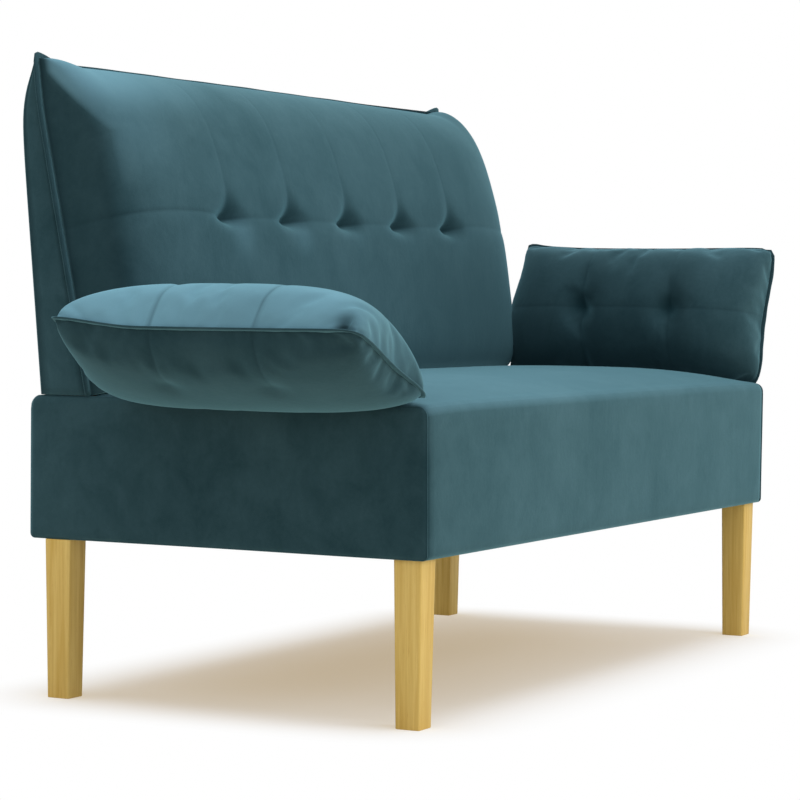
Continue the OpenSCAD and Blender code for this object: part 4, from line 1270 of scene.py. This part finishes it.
class SOFA_OT_bare_parts(bpy.types.Operator):
    """Give the frame, the webbing, the cords and the ironwork their finishes"""

    bl_idname = "sofa.bare_parts"
    bl_label = "Frame and ironwork"

    def execute(self, context):
        colours = context.scene.sofa_colours
        dark = [c * 0.62 for c in colours.beech]
        across, along, upright = (0.0, math.pi / 2, 0.0), (math.pi / 2, 0.0, 0.0), (0.0, 0.0, 0.0)
        beech_x, beech_y, beech_z = (
            wood("beech_" + name, colours.beech, dark, 0.8, turn)
            for name, turn in (("across", across), ("along", along), ("upright", upright)))
        ply = wood("birch_ply", (0.60, 0.42, 0.22), (0.36, 0.22, 0.10), 1.4, along)
        jute = woven("jute_webbing", (0.30, 0.21, 0.12), (0.10, 0.065, 0.035), 260.0)
        twine = woven("twine", (0.012, 0.050, 0.062), (0.004, 0.016, 0.020), 900.0)
        zinc = metal("zinc_plate", (0.62, 0.63, 0.65), (0.40, 0.41, 0.43), 0.32)
        blued = metal("blued_steel", (0.26, 0.28, 0.33), (0.12, 0.13, 0.17), 0.28)
        finishes = (
            (("left_rail", "right_rail", "centre_rail"), beech_y),
            (("_rail",), beech_x),
            (("post",), beech_z),
            (("_board",), ply),
            (("webbing",), jute),
            (("cords",), twine),
            (("springs", "bracket", "pins", "leaves", "leaf"), blued),
            (("bolts", "straps", "screws"), zinc))
        for name, obj in frame["nodes"].items():
            surface = next((s for marks, s in finishes if any(m in name for m in marks)), None)
            for holder in obj.material_slots if surface else ():
                holder.material = surface
        return {"FINISHED"}


class SOFA_OT_stage(bpy.types.Operator):
    """Set up the floor, the lamps, the world and the camera"""

    bl_idname = "sofa.stage"
    bl_label = "Stage"

    def execute(self, context):
        self.floor(context)
        self.lamps(context)
        self.camera(context)
        return {"FINISHED"}

    def floor(self, context):
        bm = bmesh.new()
        bmesh.ops.create_grid(bm, x_segments=8, y_segments=8, size=12.0)
        obj = piece("floor", bm, smooth=False)
        made, tree, shader = blank("floor", Roughness=0.9, Specular_IOR_Level=0.05)
        spot = add(tree, "ShaderNodeTexCoord").outputs["Object"]
        seen = add(tree, "ShaderNodeLightPath").outputs["Is Camera Ray"]
        cloudy = mapped(tree, noise(tree, spot, 3.0, 3.0), 0.3, 0.7)
        plain = blended(tree, cloudy, *FLOOR_LIT)
        shown = blended(tree, cloudy, *FLOOR_SEEN)
        tree.links.new(blended(tree, seen, plain, shown), shader.inputs["Base Color"])
        # A warm glow that only the camera sees: painted light that turns the floor's shade beige
        glow = add(tree, "ShaderNodeEmission", Color=(1.0, 0.70, 0.30, 1), Strength=0.40)
        lifted = add(tree, "ShaderNodeAddShader", shader.outputs[0], glow.outputs[0])
        near = mixed_shader(tree, seen, shader.outputs[0], lifted.outputs[0])
        split = add(tree, "ShaderNodeSeparateXYZ", spot)
        aways = (sums(tree, "SUBTRACT", sums(tree, "ABSOLUTE", split.outputs[k]), half)
                 for k, half in enumerate(SHADE_HALVES))
        reach = [sums(tree, "MAXIMUM", 0.0, away) for away in aways]
        far = sums(tree, "ADD", *[sums(tree, "MULTIPLY", r, r) for r in reach])
        white = mapped(tree, sums(tree, "POWER", far, 0.5), 0.0, SHADE_FADE, smooth=True)
        plainly = add(tree, "ShaderNodeEmission", Color=(1, 1, 1, 1), Strength=1.0)
        mixed = mixed_shader(tree, sums(tree, "MULTIPLY", white, seen), near, plainly.outputs[0])
        tree.links.new(mixed, tree.nodes["Material Output"].inputs["Surface"])
        obj.data.materials.append(made)

    def lamps(self, context):
        world = bpy.data.worlds.new("studio")
        context.scene.world = world
        world.use_nodes = True
        tree = world.node_tree
        soft = tree.nodes["Background"]
        soft.inputs["Color"].default_value = (0.93, 0.97, 1.0, 1.0)
        soft.inputs["Strength"].default_value = 0.70
        white = add(tree, "ShaderNodeBackground", Color=(1, 1, 1, 1), Strength=1.0)
        path = add(tree, "ShaderNodeLightPath").outputs
        seen = sums(tree, "MAXIMUM", path["Is Camera Ray"], path["Is Transmission Ray"])
        mixed = mixed_shader(tree, seen, soft.outputs[0], white.outputs[0])
        tree.links.new(mixed, tree.nodes["World Output"].inputs["Surface"])
        for name, at, size, power in LAMPS:
            lamp = bpy.data.lights.new(name, "AREA")
            lamp.shape = "DISK"
            lamp.size = size
            lamp.energy = power
            obj = linked(name, lamp)
            obj.location = at
            aim = Vector((0, 0, LAMP_AIM_Z)) - Vector(at)
            obj.rotation_euler = aim.to_track_quat("-Z", "Y").to_euler()

    def camera(self, context):
        yaw, pitch, roll = (math.radians(a) for a in CAMERA_TURN)
        ahead = Vector((math.sin(yaw) * math.cos(pitch), math.cos(yaw) * math.cos(pitch),
                        math.sin(pitch)))
        right = Vector((math.cos(yaw), -math.sin(yaw), 0.0))
        upward = right.cross(ahead)
        x = right * math.cos(roll) + upward * math.sin(roll)
        y = upward * math.cos(roll) - right * math.sin(roll)
        data = bpy.data.cameras.new("camera")
        data.sensor_width = 36.0
        data.lens = CAMERA_LENS
        camera = linked("camera", data)
        turn = Matrix((x, y, -ahead)).transposed()
        camera.matrix_world = Matrix.Translation(CAMERA_AT) @ turn.to_4x4()
        context.scene.camera = camera
        context.scene.view_settings.view_transform = "Standard"


# Settings, panel and registration


def length(name, description, default):
    return FloatProperty(name=name, description=description, default=default, unit="LENGTH")


def colour(name, description, *default):
    return FloatVectorProperty(
        name=name, description=description, default=default, subtype="COLOR")


class SofaShape(bpy.types.PropertyGroup):
    """Sizes of the covers that a user would change"""

    back_cell: length("Backrest cell", "Width of the backrest's cloth cells", 0.0105)
    back_inset: length(
        "Backrest inset", "How much smaller the backrest starts before it is filled", 0.006)
    back_limit: length(
        "Backrest swell", "Furthest that filling may push the backrest's cover", 0.008)
    arm_cell: length("Arm cell", "Width of the arms' cloth cells", 0.009)
    arm_inset: length("Arm inset", "How much smaller the arms start before they are filled", 0.005)
    arm_limit: length("Arm swell", "Furthest that filling may push an arm's cover", 0.004)
    pressure: FloatProperty(
        name="Filling", description="Pressure of the filling while it is simulated", default=4.0)
    cover_thickness: length("Cover", "Thickness of a cover with its backing", 0.002)
    panel_crown: length("Panel crown", "How far the panels of the seat box stand out", 0.003)
    welt_out: length("Welt width", "How far the welt stands out of its seam", 0.007)
    welt_thickness: length("Welt thickness", "Thickness of the folded welt", 0.003)
    leg_taper: FloatProperty(
        name="Leg taper", description="Width of a leg's foot as a share of its top",
        default=38.5 / 45.0)
    leg_bevel: length("Leg bevel", "Bevel along the legs' edges", 0.003)


class SofaColours(bpy.types.PropertyGroup):
    """Colours that a user would change"""

    velvet_deep: colour("Velvet, deep", "The velvet where its nap turns away", 0.013, 0.040, 0.050)
    velvet_pale: colour(
        "Velvet, pale", "The velvet where its nap catches the light", 0.040, 0.089, 0.107)
    # The colour of the velvet's painted highlights
    velvet_painted_highlight: colour(
        "Velvet, brushed", "The velvet brushed against its nap", 0.165, 0.335, 0.420)
    velvet_sheen: colour("Velvet sheen", "Tint of the velvet's sheen", 0.40, 0.85, 1.0)
    oak_light: colour("Oak, light", "The oak between its grain lines", 0.93, 0.66, 0.21)
    oak_dark: colour("Oak, dark", "The oak's grain lines", 0.70, 0.42, 0.07)
    beech: colour("Beech", "The bare frame", 0.62, 0.45, 0.27)


class SOFA_PT_panel(bpy.types.Panel):
    """The sofa's pieces, in the order in which they are made"""

    bl_idname = "SOFA_PT_panel"
    bl_label = "Dining Sofa"
    bl_space_type = "VIEW_3D"
    bl_region_type = "UI"
    bl_category = "Sofa"

    def draw(self, context):
        layout = self.layout
        for group in (context.scene.sofa_shape, context.scene.sofa_colours):
            column = layout.column(align=True)
            for name in group.__annotations__:
                column.prop(group, name)
        for made in MAKERS:
            layout.operator(made.bl_idname)


MAKERS = (SOFA_OT_backrest, SOFA_OT_arms, SOFA_OT_seat, SOFA_OT_legs, SOFA_OT_bare_parts,
          SOFA_OT_stage)
CLASSES = (SofaShape, SofaColours, *MAKERS, SOFA_PT_panel)


def register():
    for made in CLASSES:
        bpy.utils.register_class(made)
    bpy.types.Scene.sofa_shape = PointerProperty(type=SofaShape)
    bpy.types.Scene.sofa_colours = PointerProperty(type=SofaColours)


def unregister():
    del bpy.types.Scene.sofa_shape
    del bpy.types.Scene.sofa_colours
    for made in reversed(CLASSES):
        bpy.utils.unregister_class(made)


def main():
    register()
    bpy.ops.sofa.backrest()
    bpy.ops.sofa.arms()
    bpy.ops.sofa.seat()
    bpy.ops.sofa.legs()
    bpy.ops.sofa.bare_parts()
    bpy.ops.sofa.stage()


if __name__ == "__main__":
    main()
